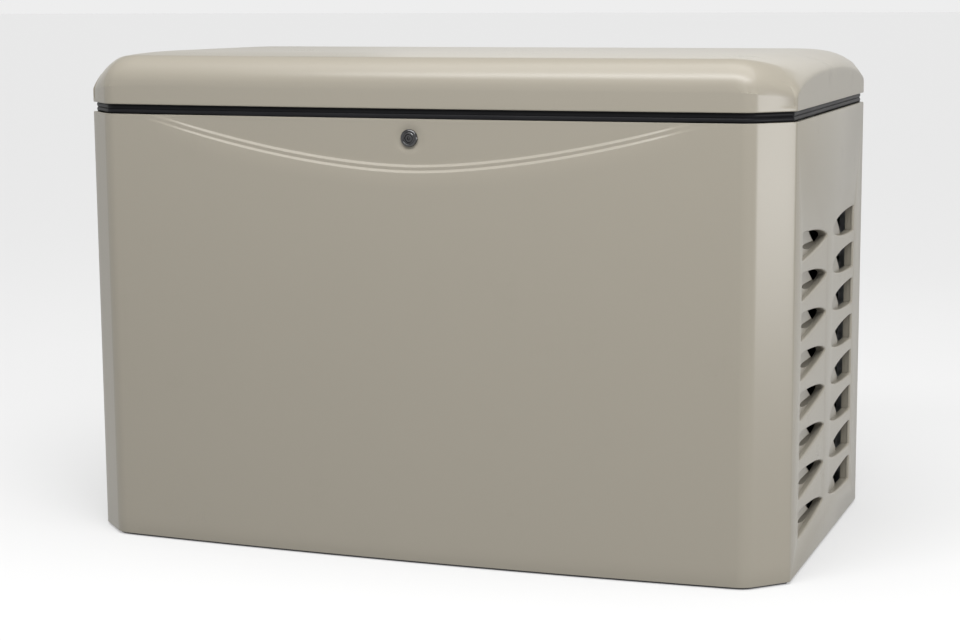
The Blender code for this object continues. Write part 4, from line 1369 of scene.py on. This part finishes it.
@dataclass
class EngineDress:
    """Ignition, guard, exhaust joints, hoses and grips of the engine.

    Attributes:
        head: How far each plug lies across and above the crankshaft's axis.
        blower: Outer radius of the blower's cowl.
    """

    head: float = 0.203
    blower: float = 0.154

    def build(self) -> None:
        """Builds each group."""
        self.ignition()
        self.guard()
        self.exhaust()
        self.fuel()
        self.starter()
        self.grips()

    def ignition(self) -> None:
        """A spark plug, its boot and its lead on each head."""
        for name, side, start, end in (("front", -1, 0.350, -0.080), ("rear", 1, 0.300, 0.110)):
            y, z = CRANK_Y + side * self.head, CRANK_Z + self.head
            plug = Form()
            plug.rod((start - 0.002, y, z), (start + 0.007, y, z), 0.0105, 6)
            plug.piece(f"plug_shell_{name}", ZINC, "enclosure")
            white = Form()
            white.rod((start + 0.006, y, z), (start + 0.022, y, z), 0.0062, 24, 0.0050)
            white.piece(f"plug_ceramic_{name}", CERAMIC, "enclosure")
            boot = Form().turn(
                [(0, 0), (0.0085, 0), (0.0092, 0.003), (0.0080, 0.012), (0.0072, 0.022),
                 (0.0046, 0.028), (0.0046, 0.034), (0, 0.034)],
                (start + 0.016, y, z), (1, 0, 0), 28,
            )
            boot.piece(f"plug_boot_{name}", RUBBER, "enclosure")
            drop = CRANK_Z + math.sqrt(self.blower**2 - (end - CRANK_Y) ** 2)
            lead = Form().tube(
                [(start + 0.048, y, z), (start + 0.060, y - side * 0.012, z - 0.006),
                 (0.404, (y + end) / 2, (z + drop) / 2 + 0.012), (0.398, end, drop + 0.014),
                 (0.398, end, drop - 0.001)], 0.0034)
            lead.piece(f"plug_lead_{name}", PLASTIC, "enclosure")
            collar = Form()
            collar.rod((0.398, end, drop - 0.006), (0.398, end, drop + 0.006), 0.0075, 24, 0.0052)
            collar.piece(f"plug_grommet_{name}", RUBBER, "enclosure")

    def guard(self) -> None:
        """The wire guard over the blower's inlet."""
        form = Form()
        for radius in (0.022, 0.040, 0.058, 0.076, 0.094, 0.108):
            form.hoop((0.4722, CRANK_Y, CRANK_Z), (1, 0, 0), radius, 0.0013)
        for i in range(6):
            angle = math.tau * i / 6
            way = Vector((0, math.cos(angle), math.sin(angle)))
            hub = Vector((0.4744, CRANK_Y, CRANK_Z))
            form.rod(hub + way * 0.020, hub + way * 0.112, 0.0014, 12)
        form.piece("blower_guard", ZINC, "enclosure")

    def exhaust(self) -> None:
        """Flanges on the heads, clamps on the pipes and bands round the muffler."""
        for name, x, y in (("front", 0.2295, -0.171), ("rear", 0.1795, 0.211)):
            flange = Form().turn([(0.0174, -0.009), (0.026, -0.009), (0.026, -0.002),
                                  (0.0174, -0.002)], (x, y, 0.431), (1, 0, 0), 40, True)
            for turn in (-1, 1):
                flange.bolt((x - 0.009, y, 0.431 + turn * 0.0225), (-1, 0, 0), 0.0042)
            flange.piece(f"exhaust_flange_{name}", STEEL, "enclosure")
            clamp = Form().turn([(0.0173, 0), (0.0200, 0.001), (0.0200, 0.013), (0.0173, 0.014)],
                                (-0.296, y, 0.370), (1, 0, 0), 40, True)
            clamp.bolt((-0.289, y, 0.391), (0, 1, 0), 0.0040)
            clamp.piece(f"exhaust_clamp_{name}", STEEL, "enclosure")
        bands = Form()
        for y in (-0.110, 0.130):
            bands.turn([(0.0952, -0.011), (0.0966, -0.011), (0.0966, 0.011), (0.0952, 0.011)],
                       (-0.400, y, 0.360), (0, 1, 0), 72, True)
            bands.bolt((-0.400, y, 0.4566), (0, 0, 1), 0.0052)
        bands.piece("muffler_bands", ZINC, "enclosure")

    def fuel(self) -> None:
        """The hose from the regulator to the mixer, with its clips."""
        path = [(0.110, 0.310, 0.400), (0.128, 0.290, 0.432), (0.132, 0.235, 0.478),
                (0.140, 0.140, 0.492), (0.180, 0.060, 0.470), (0.246, 0.030, 0.452)]
        Form().tube(path, 0.0088, 20, 12).piece("fuel_hose", RUBBER, "enclosure")
        clips = Form()
        ends = course(path, 12)
        for near, far in ((ends[2], ends[3]), (ends[-5], ends[-4])):
            clips.turn([(0.0086, -0.004), (0.0102, -0.004), (0.0102, 0.004), (0.0086, 0.004)],
                       near, far - near, 32, True)
        clips.piece("fuel_hose_clips", ZINC, "enclosure")

    def starter(self) -> None:
        """The starter's solenoid with its studs."""
        body = Form().turn([(0, 0), (0.014, 0), (0.0165, 0.003), (0.0165, 0.062),
                            (0.013, 0.066), (0.013, 0.076), (0, 0.076)],
                           (0.215, 0.172, 0.2125), (1, 0, 0), 40)
        body.piece("starter_solenoid", GREY_PAINT, "enclosure")
        studs = Form()
        for z in (0.207, 0.219):
            studs.rod((0.290, 0.172, z), (0.303, 0.172, z), 0.0026, 16)
            studs.bolt((0.2912, 0.172, z), (1, 0, 0), 0.0044)
        studs.piece("starter_studs", BRASS, "enclosure")

    def grips(self) -> None:
        """Ribs round the air cleaner's knob and the dipstick's cap."""
        for name, body, finish, x, y, low, high, radius, count in (
            ("air_cleaner_grip", "air_cleaner_cover", PLASTIC, 0.270, 0.020, 0.630, 0.645,
             0.0180, 18),
            ("dipstick_grip", "dipstick", YELLOW, 0.195, -0.100, 0.3325, 0.349, 0.0140, 16),
        ):
            form = Form()
            for i in range(count):
                angle = math.tau * i / count
                place = Vector((x + radius * math.cos(angle), y + radius * math.sin(angle), low))
                form.rod(place, place + Vector((0, 0, high - low)), 0.0012, 10)
            form.piece(name, finish, body)


@dataclass
class Turned:
    """The engine's round castings, drawn finer than their plain shapes.

    Attributes:
        deck: Where a barrel starts along its axis.
        head_top: Where its head ends.
    """

    deck: float = 0.1203
    head_top: float = 0.3000

    def build(self) -> None:
        """Builds each casting."""
        centre = (0.0, CRANK_Y, CRANK_Z)
        shell = [(0.030, -0.135), (0.104, -0.135), (0.116, -0.133), (0.122, -0.128),
                 (0.125, -0.120), (0.125, -0.100)]
        for i in range(22):
            low = -0.098 + i * 0.0104
            shell += [(0.1250, low), (0.1250, low + 0.0056), (0.1212, low + 0.0064),
                      (0.1212, low + 0.0096)]
        shell += [(0.1250, 0.1330), (0.1250, 0.1680), (0.1235, 0.1695), (0.087, 0.1695),
                  (0.087, -0.120), (0.030, -0.120)]
        Form().turn(shell, centre, (1, 0, 0), 96, True).piece(
            "alternator_case", CAST, "enclosure", ["alternator_stator"], 40)
        blower = [(0.1540, 0.3620), (0.1540, 0.4640), (0.1520, 0.4690), (0.1480, 0.4700),
                  (0.1020, 0.4700), (0.1000, 0.4690), (0.1000, 0.4668), (0.1460, 0.4665),
                  (0.1505, 0.4620), (0.1505, 0.3620)]
        Form().turn(blower, centre, (1, 0, 0), 96, True).piece(
            "blower_cowl", POWDER, "enclosure", ["blower_housing"], 40)
        regulator = [(0, 0.283), (0.010, 0.283), (0.0105, 0.2850), (0.036, 0.2852),
                     (0.040, 0.2870), (0.045, 0.2940), (0.0455, 0.3010), (0.0545, 0.3020),
                     (0.0550, 0.3095), (0.0540, 0.3097), (0.0540, 0.3103), (0.0550, 0.3105),
                     (0.0545, 0.3180), (0.0455, 0.3190), (0.044, 0.3300), (0.040, 0.3365),
                     (0.037, 0.337), (0, 0.337)]
        Form().turn(regulator, (0.060, 0, 0.400), (0, 1, 0), 72).piece(
            "regulator_body", CAST, "enclosure", ["gas_regulator"], 40)
        can = [(0, -0.178), (0.026, -0.178), (0.0305, -0.1765), (0.0330, -0.1720),
               (0.0345, -0.1400), (0.0358, -0.1050), (0.0362, -0.1040), (0.0362, -0.1000),
               (0.0340, -0.0985), (0.0340, -0.0904), (0, -0.0904)]
        Form().turn(can, (0.300, 0, 0.180), (0, 1, 0), 72).piece(
            "oil_filter_can", FILTER_PAINT, "enclosure", ["oil_filter"], 40)
        motor = [(0, 0.196), (0.011, 0.196), (0.012, 0.198), (0.029, 0.199), (0.034, 0.2015),
                 (0.036, 0.206), (0.036, 0.2180), (0.0352, 0.2185), (0.0352, 0.2200),
                 (0.036, 0.2205), (0.036, 0.3000), (0.0335, 0.3040), (0.0230, 0.3065),
                 (0.0220, 0.3080), (0.0220, 0.3390), (0.0210, 0.3400), (0, 0.3400)]
        Form().turn(motor, (0, 0.172, 0.160), (1, 0, 0), 72).piece(
            "starter_case", POWDER, "enclosure", ["starter_motor"], 40)
        for name, side, middle in (("front", -1, 0.290), ("rear", 1, 0.240)):
            self.barrel(name, side, middle)

    def barrel(self, name: str, side: int, middle: float) -> None:
        """A finned barrel with its head.

        Args:
            name: Which cylinder it is.
            side: The way that it leans.
            middle: Its place along the crankshaft.
        """
        profile = [(0, self.deck)]
        fins = 14
        pitch = (self.head_top - self.deck - 0.012) / fins
        for i in range(fins):
            foot = self.deck + i * pitch
            outer = 0.0550 if i < 8 else 0.0600
            profile += [(0.0440, foot), (0.0440, foot + pitch * 0.60),
                        (outer - 0.0006, foot + pitch * 0.68), (outer, foot + pitch * 0.73),
                        (outer, foot + pitch * 0.85), (outer - 0.0006, foot + pitch * 0.90)]
        profile += [(0.0540, self.head_top - 0.011), (0.0540, self.head_top - 0.001),
                    (0.0530, self.head_top), (0, self.head_top)]
        lean = Vector((0, side, 1)).normalized()
        Form().turn(profile, (middle, CRANK_Y, CRANK_Z), lean, 72).piece(
            f"barrel_{name}", CAST, "enclosure", [f"cylinder_{name}"], 40)


@dataclass
class Electrics:
    """Battery fittings, control panel, breaker surround and the wiring.

    Attributes:
        posts: Where the battery's posts stand, the negative one first.
        foot: The middle of the control face's lower edge.
        up: The way up the control face.
        out: The way out of it.
        buttons: The buttons' places along it.
        button_height: How far up the face they lie.
    """

    posts: tuple[tuple[float, float], ...] = ((-0.185, -0.226), (-0.007, -0.226))
    foot: tuple[float, float, float] = (0.0, -0.330, 0.500)
    up: tuple[float, float, float] = (0.0, 0.2425, 0.9701)
    out: tuple[float, float, float] = (0.0, -0.9701, 0.2425)
    buttons: tuple[float, ...] = (0.365, 0.400, 0.435)
    button_height: float = 0.045

    def build(self) -> None:
        """Builds each group."""
        self.battery()
        self.panel()
        self.breaker()
        self.wiring()
        self.plates()

    def battery(self) -> None:
        """Clamps, vent covers and a blank label."""
        for name, (x, y) in zip(("negative", "positive"), self.posts):
            clamp = Form().turn([(0.0088, 0.001), (0.0135, 0.001), (0.0140, 0.010),
                                 (0.0088, 0.010)], (x, y, 0.203), (0, 0, 1), 32, True)
            clamp.box((x - 0.007, y + 0.010, 0.2045), (x + 0.007, y + 0.026, 0.2115), 0.001)
            clamp.bolt((x - 0.007, y + 0.019, 0.208), (-1, 0, 0), 0.0040)
            clamp.piece(f"battery_clamp_{name}", BRASS if name == "positive" else ZINC,
                        "enclosure")
        vents = Form()
        for low in (-0.172, -0.088):
            vents.box((low, -0.303, 0.1990), (low + 0.068, -0.270, 0.2060), 0.002)
        vents.piece("battery_vents", PLASTIC, "enclosure")
        Form().box((-0.190, -0.3256, 0.060), (-0.002, -0.3248, 0.160), 0.0002).piece(
            "battery_label", LABEL, "enclosure")

    def face(self, form: Form, name: str, finish: Finish) -> None:
        """Lays a form built flat onto the control box's sloping face.

        Args:
            form: The form, with x along, y up the face and z out of it.
            name: The piece's name.
            finish: Its surface.
        """
        turn = Matrix((Vector((1, 0, 0)), Vector(self.up), Vector(self.out))).transposed()
        lay = Matrix.Translation(self.foot) @ turn.to_4x4()
        bmesh.ops.transform(form.bm, matrix=lay, verts=form.bm.verts[:])
        form.piece(name, finish, "enclosure")

    def panel(self) -> None:
        """The display, its bezel, the button rings, the lamps and the screws."""
        self.face(Form().box((0.3365, 0.0865, -0.0019), (0.4635, 0.1385, -0.0003), 0.0003),
                  "display_lens", LENS)
        bezel = Form()
        for low, high in (((0.329, 0.079), (0.471, 0.0848)), ((0.329, 0.1402), (0.471, 0.146)),
                          ((0.329, 0.0850), (0.3348, 0.1400)),
                          ((0.4652, 0.0850), (0.471, 0.1400))):
            bezel.box((*low, -0.0004), (*high, 0.0018), 0.0007)
        self.face(bezel, "display_bezel", GREY_PAINT)
        rings = Form()
        for x in self.buttons:
            rings.turn([(0.0096, -0.0003), (0.0128, -0.0003), (0.0124, 0.0012), (0.0100, 0.0014)],
                       (x, self.button_height, 0), (0, 0, 1), 40, True)
        self.face(rings, "button_rings", ZINC)
        for name, height, finish in (("green", 0.126, GREEN), ("amber", 0.113, AMBER),
                                     ("red", 0.100, RED)):
            lamp = Form().turn([(0, -0.001), (0.0030, -0.001), (0.0030, 0.0006),
                                (0.0022, 0.0018), (0, 0.0023)], (0.306, height, 0), (0, 0, 1), 24)
            self.face(lamp, f"lamp_{name}", finish)
        fuse = Form().turn([(0, -0.001), (0.0095, -0.001), (0.0095, 0.002), (0.0075, 0.003),
                            (0.0070, 0.011), (0.0058, 0.0125), (0, 0.0125)],
                           (0.500, self.button_height, 0), (0, 0, 1), 32)
        self.face(fuse, "fuse_cap", PLASTIC)
        screws = Form()
        for x in (0.279, 0.526):
            for height in (0.011, 0.154):
                screws.bolt((x, height, 0), (0, 0, 1), 0.0030)
        self.face(screws, "panel_screws", ZINC)

    def breaker(self) -> None:
        """The surround of the breaker's slot and the conduit under its box."""
        rim = Form()
        for low, high in (((-0.194, 0.486), (-0.136, 0.4935)), ((-0.194, 0.5265), (-0.136, 0.534)),
                          ((-0.194, 0.4937), (-0.1865, 0.5263)),
                          ((-0.1435, 0.4937), (-0.136, 0.5263))):
            rim.box((low[0], -0.3268, low[1]), (high[0], -0.3246, high[1]), 0.0007)
        rim.piece("breaker_surround", PLASTIC, "enclosure")
        Form().box((-0.228, -0.3256, 0.545), (-0.116, -0.3248, 0.580), 0.0002).piece(
            "breaker_label", LABEL, "enclosure")
        Form().tube([(-0.200, -0.285, 0.424), (-0.200, -0.272, 0.360), (-0.214, -0.190, 0.290),
                     (-0.226, -0.128, 0.180), (-0.224, -0.108, 0.080), (-0.180, -0.090, 0.090),
                     (-0.128, -0.070, 0.130)], 0.0105, 20, 12, 0.12).piece(
            "power_conduit", PLASTIC, "enclosure")
        gland = Form()
        gland.rod((-0.200, -0.286, 0.402), (-0.200, -0.286, 0.4205), 0.0150, 6)
        gland.piece("conduit_gland", ZINC, "enclosure")

    def wiring(self) -> None:
        """Battery cables and the engine's loom."""
        Form().tube([(-0.007, -0.203, 0.208), (0.020, -0.184, 0.204), (0.045, -0.172, 0.120),
                     (0.075, -0.166, 0.024), (0.200, -0.162, 0.014), (0.345, -0.158, 0.014),
                     (0.388, -0.080, 0.016), (0.390, 0.080, 0.020), (0.376, 0.168, 0.050),
                     (0.352, 0.186, 0.120), (0.334, 0.180, 0.190), (0.302, 0.172, 0.219)],
                    0.0046).piece("positive_cable", CABLE_RED, "enclosure")
        Form().tube([(-0.185, -0.203, 0.208), (-0.205, -0.186, 0.204), (-0.222, -0.176, 0.130),
                     (-0.216, -0.170, 0.040), (-0.200, -0.164, 0.010)], 0.0046).piece(
            "negative_cable", PLASTIC, "enclosure")
        Form().tube([(0.450, -0.275, 0.474), (0.450, -0.262, 0.440), (0.446, -0.225, 0.330),
                     (0.440, -0.205, 0.180), (0.420, -0.190, 0.060), (0.360, -0.182, 0.020),
                     (0.220, -0.178, 0.014), (0.060, -0.176, 0.014)], 0.0076, 18, 14, 0.10).piece(
            "engine_loom", PLASTIC, "enclosure")
        Form().tube([(0.330, -0.268, 0.474), (0.322, -0.262, 0.440), (0.180, -0.262, 0.420),
                     (0.020, -0.262, 0.440), (-0.070, -0.275, 0.470), (-0.101, -0.285, 0.480)],
                    0.0066, 18, 14, 0.10).piece("control_loom", PLASTIC, "enclosure")

    def plates(self) -> None:
        """Blank rating plates and the foam under the lid."""
        plate = Form()
        plate.box((-0.2442, 0.060, 0.440), (-0.2430, 0.180, 0.520), 0.0002)
        for y in (0.066, 0.174):
            for z in (0.446, 0.514):
                plate.rod((-0.2434, y, z), (-0.2418, y, z), 0.0020, 16)
        plate.piece("rating_plate", LABEL, "enclosure")
        Form().box((-0.470, -0.190, 0.7780), (0.470, 0.190, 0.8020), 0.006).piece(
            "lid_liner", FOAM, "lid", angle=50)


@dataclass
class Studio:
    """The pale floor, the soft lights and the camera.

    Attributes:
        eye: Where the camera stands.
        target: Where it looks.
        lens: Its focal length in millimetres.
        roll: Its small roll in degrees.
        reach: Half the floor's size.
        floor_grey: The floor's own grey.
        floor_glow: Light that the floor gives by itself.
        pale: Strength of the surround near the floor.
        sky: Strength of the surround overhead.
        overhead: Strength of the light overhead.
        overhead_from: The way that it comes from.
        boxes: Each soft box: its name, place, target, width, height and power.
    """

    eye: tuple[float, float, float] = (1.245, -3.453, 0.924)
    target: tuple[float, float, float] = (-0.012, 0.0, 0.343)
    lens: float = 79.9
    roll: float = -0.39
    reach: float = 60.0
    floor_grey: float = 0.24
    floor_glow: float = 0.425
    pale: float = 0.855
    sky: float = 0.25
    overhead: float = 4.25
    overhead_from: tuple[float, float, float] = (0.12, -0.25, 1.0)
    boxes: tuple = (
        ("panel_right", (3.41, -0.91, 0.44), (0.57, -0.31, 0.42), 0.80, 0.85, 40.0),
        ("front_right", (1.6, -2.6, 2.4), (0.2, -0.3, 0.5), 1.2, 0.8, 12.0),
        ("over_lid", (0.3, -1.7, 2.5), (0.1, -0.3, 0.8), 3.0, 0.5, 78.0),
        ("behind_lid", (0.3, 2.6, 1.9), (0.1, 0.0, 0.8), 3.4, 0.9, 8.0),
    )

    def build(self) -> None:
        """Sets up everything that isn't the generator."""
        bpy.context.scene.view_settings.view_transform = "Standard"
        self.floor()
        self.world()
        self.lights()
        self.camera()

    def floor(self) -> None:
        """A plain pale floor."""
        form = Form()
        bmesh.ops.create_grid(form.bm, x_segments=1, y_segments=1, size=self.reach)
        mesh = bpy.data.meshes.new("floor")
        form.bm.to_mesh(mesh)
        form.bm.free()
        made = bpy.data.materials.new("floor_pale")
        made.use_nodes = True
        shader = made.node_tree.nodes["Principled BSDF"]
        shader.inputs["Base Color"].default_value = (*[self.floor_grey] * 3, 1.0)
        shader.inputs["Roughness"].default_value = 0.9
        shader.inputs["Specular IOR Level"].default_value = 0.0
        shader.inputs["Emission Color"].default_value = (1.0, 1.0, 1.0, 1.0)
        shader.inputs["Emission Strength"].default_value = self.floor_glow
        mesh.materials.append(made)
        floor = bpy.data.objects.new("floor", mesh)
        bpy.context.scene.collection.objects.link(floor)

    def world(self) -> None:
        """A pale surround that is dimmer overhead than near the floor."""
        world = bpy.data.worlds.new("surround")
        world.use_nodes = True
        nodes = world.node_tree.nodes
        links = world.node_tree.links
        place = nodes.new("ShaderNodeTexCoord")
        split = nodes.new("ShaderNodeSeparateXYZ")
        links.new(place.outputs["Generated"], split.inputs["Vector"])
        shade = nodes.new("ShaderNodeMapRange")
        shade.interpolation_type = "SMOOTHSTEP"
        shade.inputs["From Min"].default_value = 0.10
        shade.inputs["From Max"].default_value = 0.45
        shade.inputs["To Min"].default_value = self.pale
        shade.inputs["To Max"].default_value = self.sky
        links.new(split.outputs["Z"], shade.inputs["Value"])
        back = nodes["Background"]
        back.inputs["Color"].default_value = (1.0, 1.0, 1.0, 1.0)
        links.new(shade.outputs["Result"], back.inputs["Strength"])
        bpy.context.scene.world = world

    def lights(self) -> None:
        """A broad soft light overhead and soft boxes round the front."""
        sun = bpy.data.lights.new("overhead", "SUN")
        sun.energy = self.overhead
        sun.angle = math.radians(70)
        lamp = bpy.data.objects.new("overhead", sun)
        lamp.matrix_world = Vector(self.overhead_from).to_track_quat("Z", "Y").to_matrix().to_4x4()
        bpy.context.scene.collection.objects.link(lamp)
        for name, place, target, wide, tall, power in self.boxes:
            light = bpy.data.lights.new(name, "AREA")
            light.shape = "RECTANGLE"
            light.size = wide
            light.size_y = tall
            light.energy = power
            lamp = bpy.data.objects.new(name, light)
            aim = (Vector(target) - Vector(place)).to_track_quat("-Z", "Y")
            lamp.matrix_world = Matrix.Translation(place) @ aim.to_matrix().to_4x4()
            lamp.visible_camera = False
            bpy.context.scene.collection.objects.link(lamp)

    def camera(self) -> None:
        """The camera at its place."""
        lens = bpy.data.cameras.new("camera")
        lens.lens = self.lens
        lens.sensor_width = 36.0
        lens.clip_end = 100.0
        camera = bpy.data.objects.new("camera", lens)
        aim = (Vector(self.target) - Vector(self.eye)).to_track_quat("-Z", "Y").to_matrix()
        tilt = Matrix.Rotation(math.radians(self.roll), 3, "Z")
        camera.matrix_world = Matrix.Translation(self.eye) @ (aim @ tilt).to_4x4()
        bpy.context.scene.collection.objects.link(camera)
        bpy.context.scene.camera = camera


@dataclass
class Dressing:
    """The finishes of the CAD nodes that are shown as they are.

    Attributes:
        finishes: The nodes that carry each finish.
    """

    finishes: dict[Finish, tuple[str, ...]] = field(default_factory=lambda: {
        POWDER: ("base_tray", "engine_cradle"),
        GALVANISED: ("lid_frame", "end_frame_left", "end_frame_right", "bulkhead",
                     "muffler_bracket"),
        # The baffles behind the louvre slots are near-black: painted shade for the shadow in the
        # slots, on top of their foam lining.
        FOAM: ("intake_baffle", "exhaust_baffle"),
        ZINC: ("lid_striker", "lid_stay_track", "lid_stay_arm", "lock_pawl",
               "hinge_leaf_body_left", "hinge_leaf_body_right", "hinge_leaf_lid_left",
               "hinge_leaf_lid_right", "hinge_pin_left", "hinge_pin_right"),
        CAST: ("crankcase", "valve_cover_front", "valve_cover_rear", "fuel_mixer",
               "flywheel_fan"),
        STEEL: ("crankshaft",),
        LAMINATE: ("alternator_rotor",),
        PIPE: ("exhaust_pipe_front", "exhaust_pipe_rear"),
        MUFFLER: ("muffler",),
        RUBBER: ("isolator_front_left", "isolator_front_right", "isolator_rear_left",
                 "isolator_rear_right"),
        PLASTIC: ("air_cleaner_body", "air_cleaner_cover", "battery", "control_box",
                  "breaker_toggle"),
        GREY_PAINT: ("breaker_box",),
        BRASS: ("fuel_inlet_pipe",),
        RED: ("off_button",),
        GREEN: ("auto_button",),
        AMBER: ("run_button",),
        YELLOW: ("dipstick",),
    })

    def build(self) -> None:
        """Gives each node its finish."""
        for finish, names in self.finishes.items():
            for name in names:
                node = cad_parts[name]
                for slot in node.material_slots:
                    slot.material = finish.material()
                log.info("%s: %s", name, finish.name)


def main() -> None:
    """Builds the generator's looks in order."""
    logging.basicConfig(level=logging.INFO, format="%(name)s %(message)s")
    Studio().build()
    for part in (Dressing(), Shell(), Seal(), Lock(), Fasteners(), Turned(),
                 EngineDress(), Electrics()):
        part.build()
        log.info("%s done", type(part).__name__)


if __name__ == "__main__":
    main()
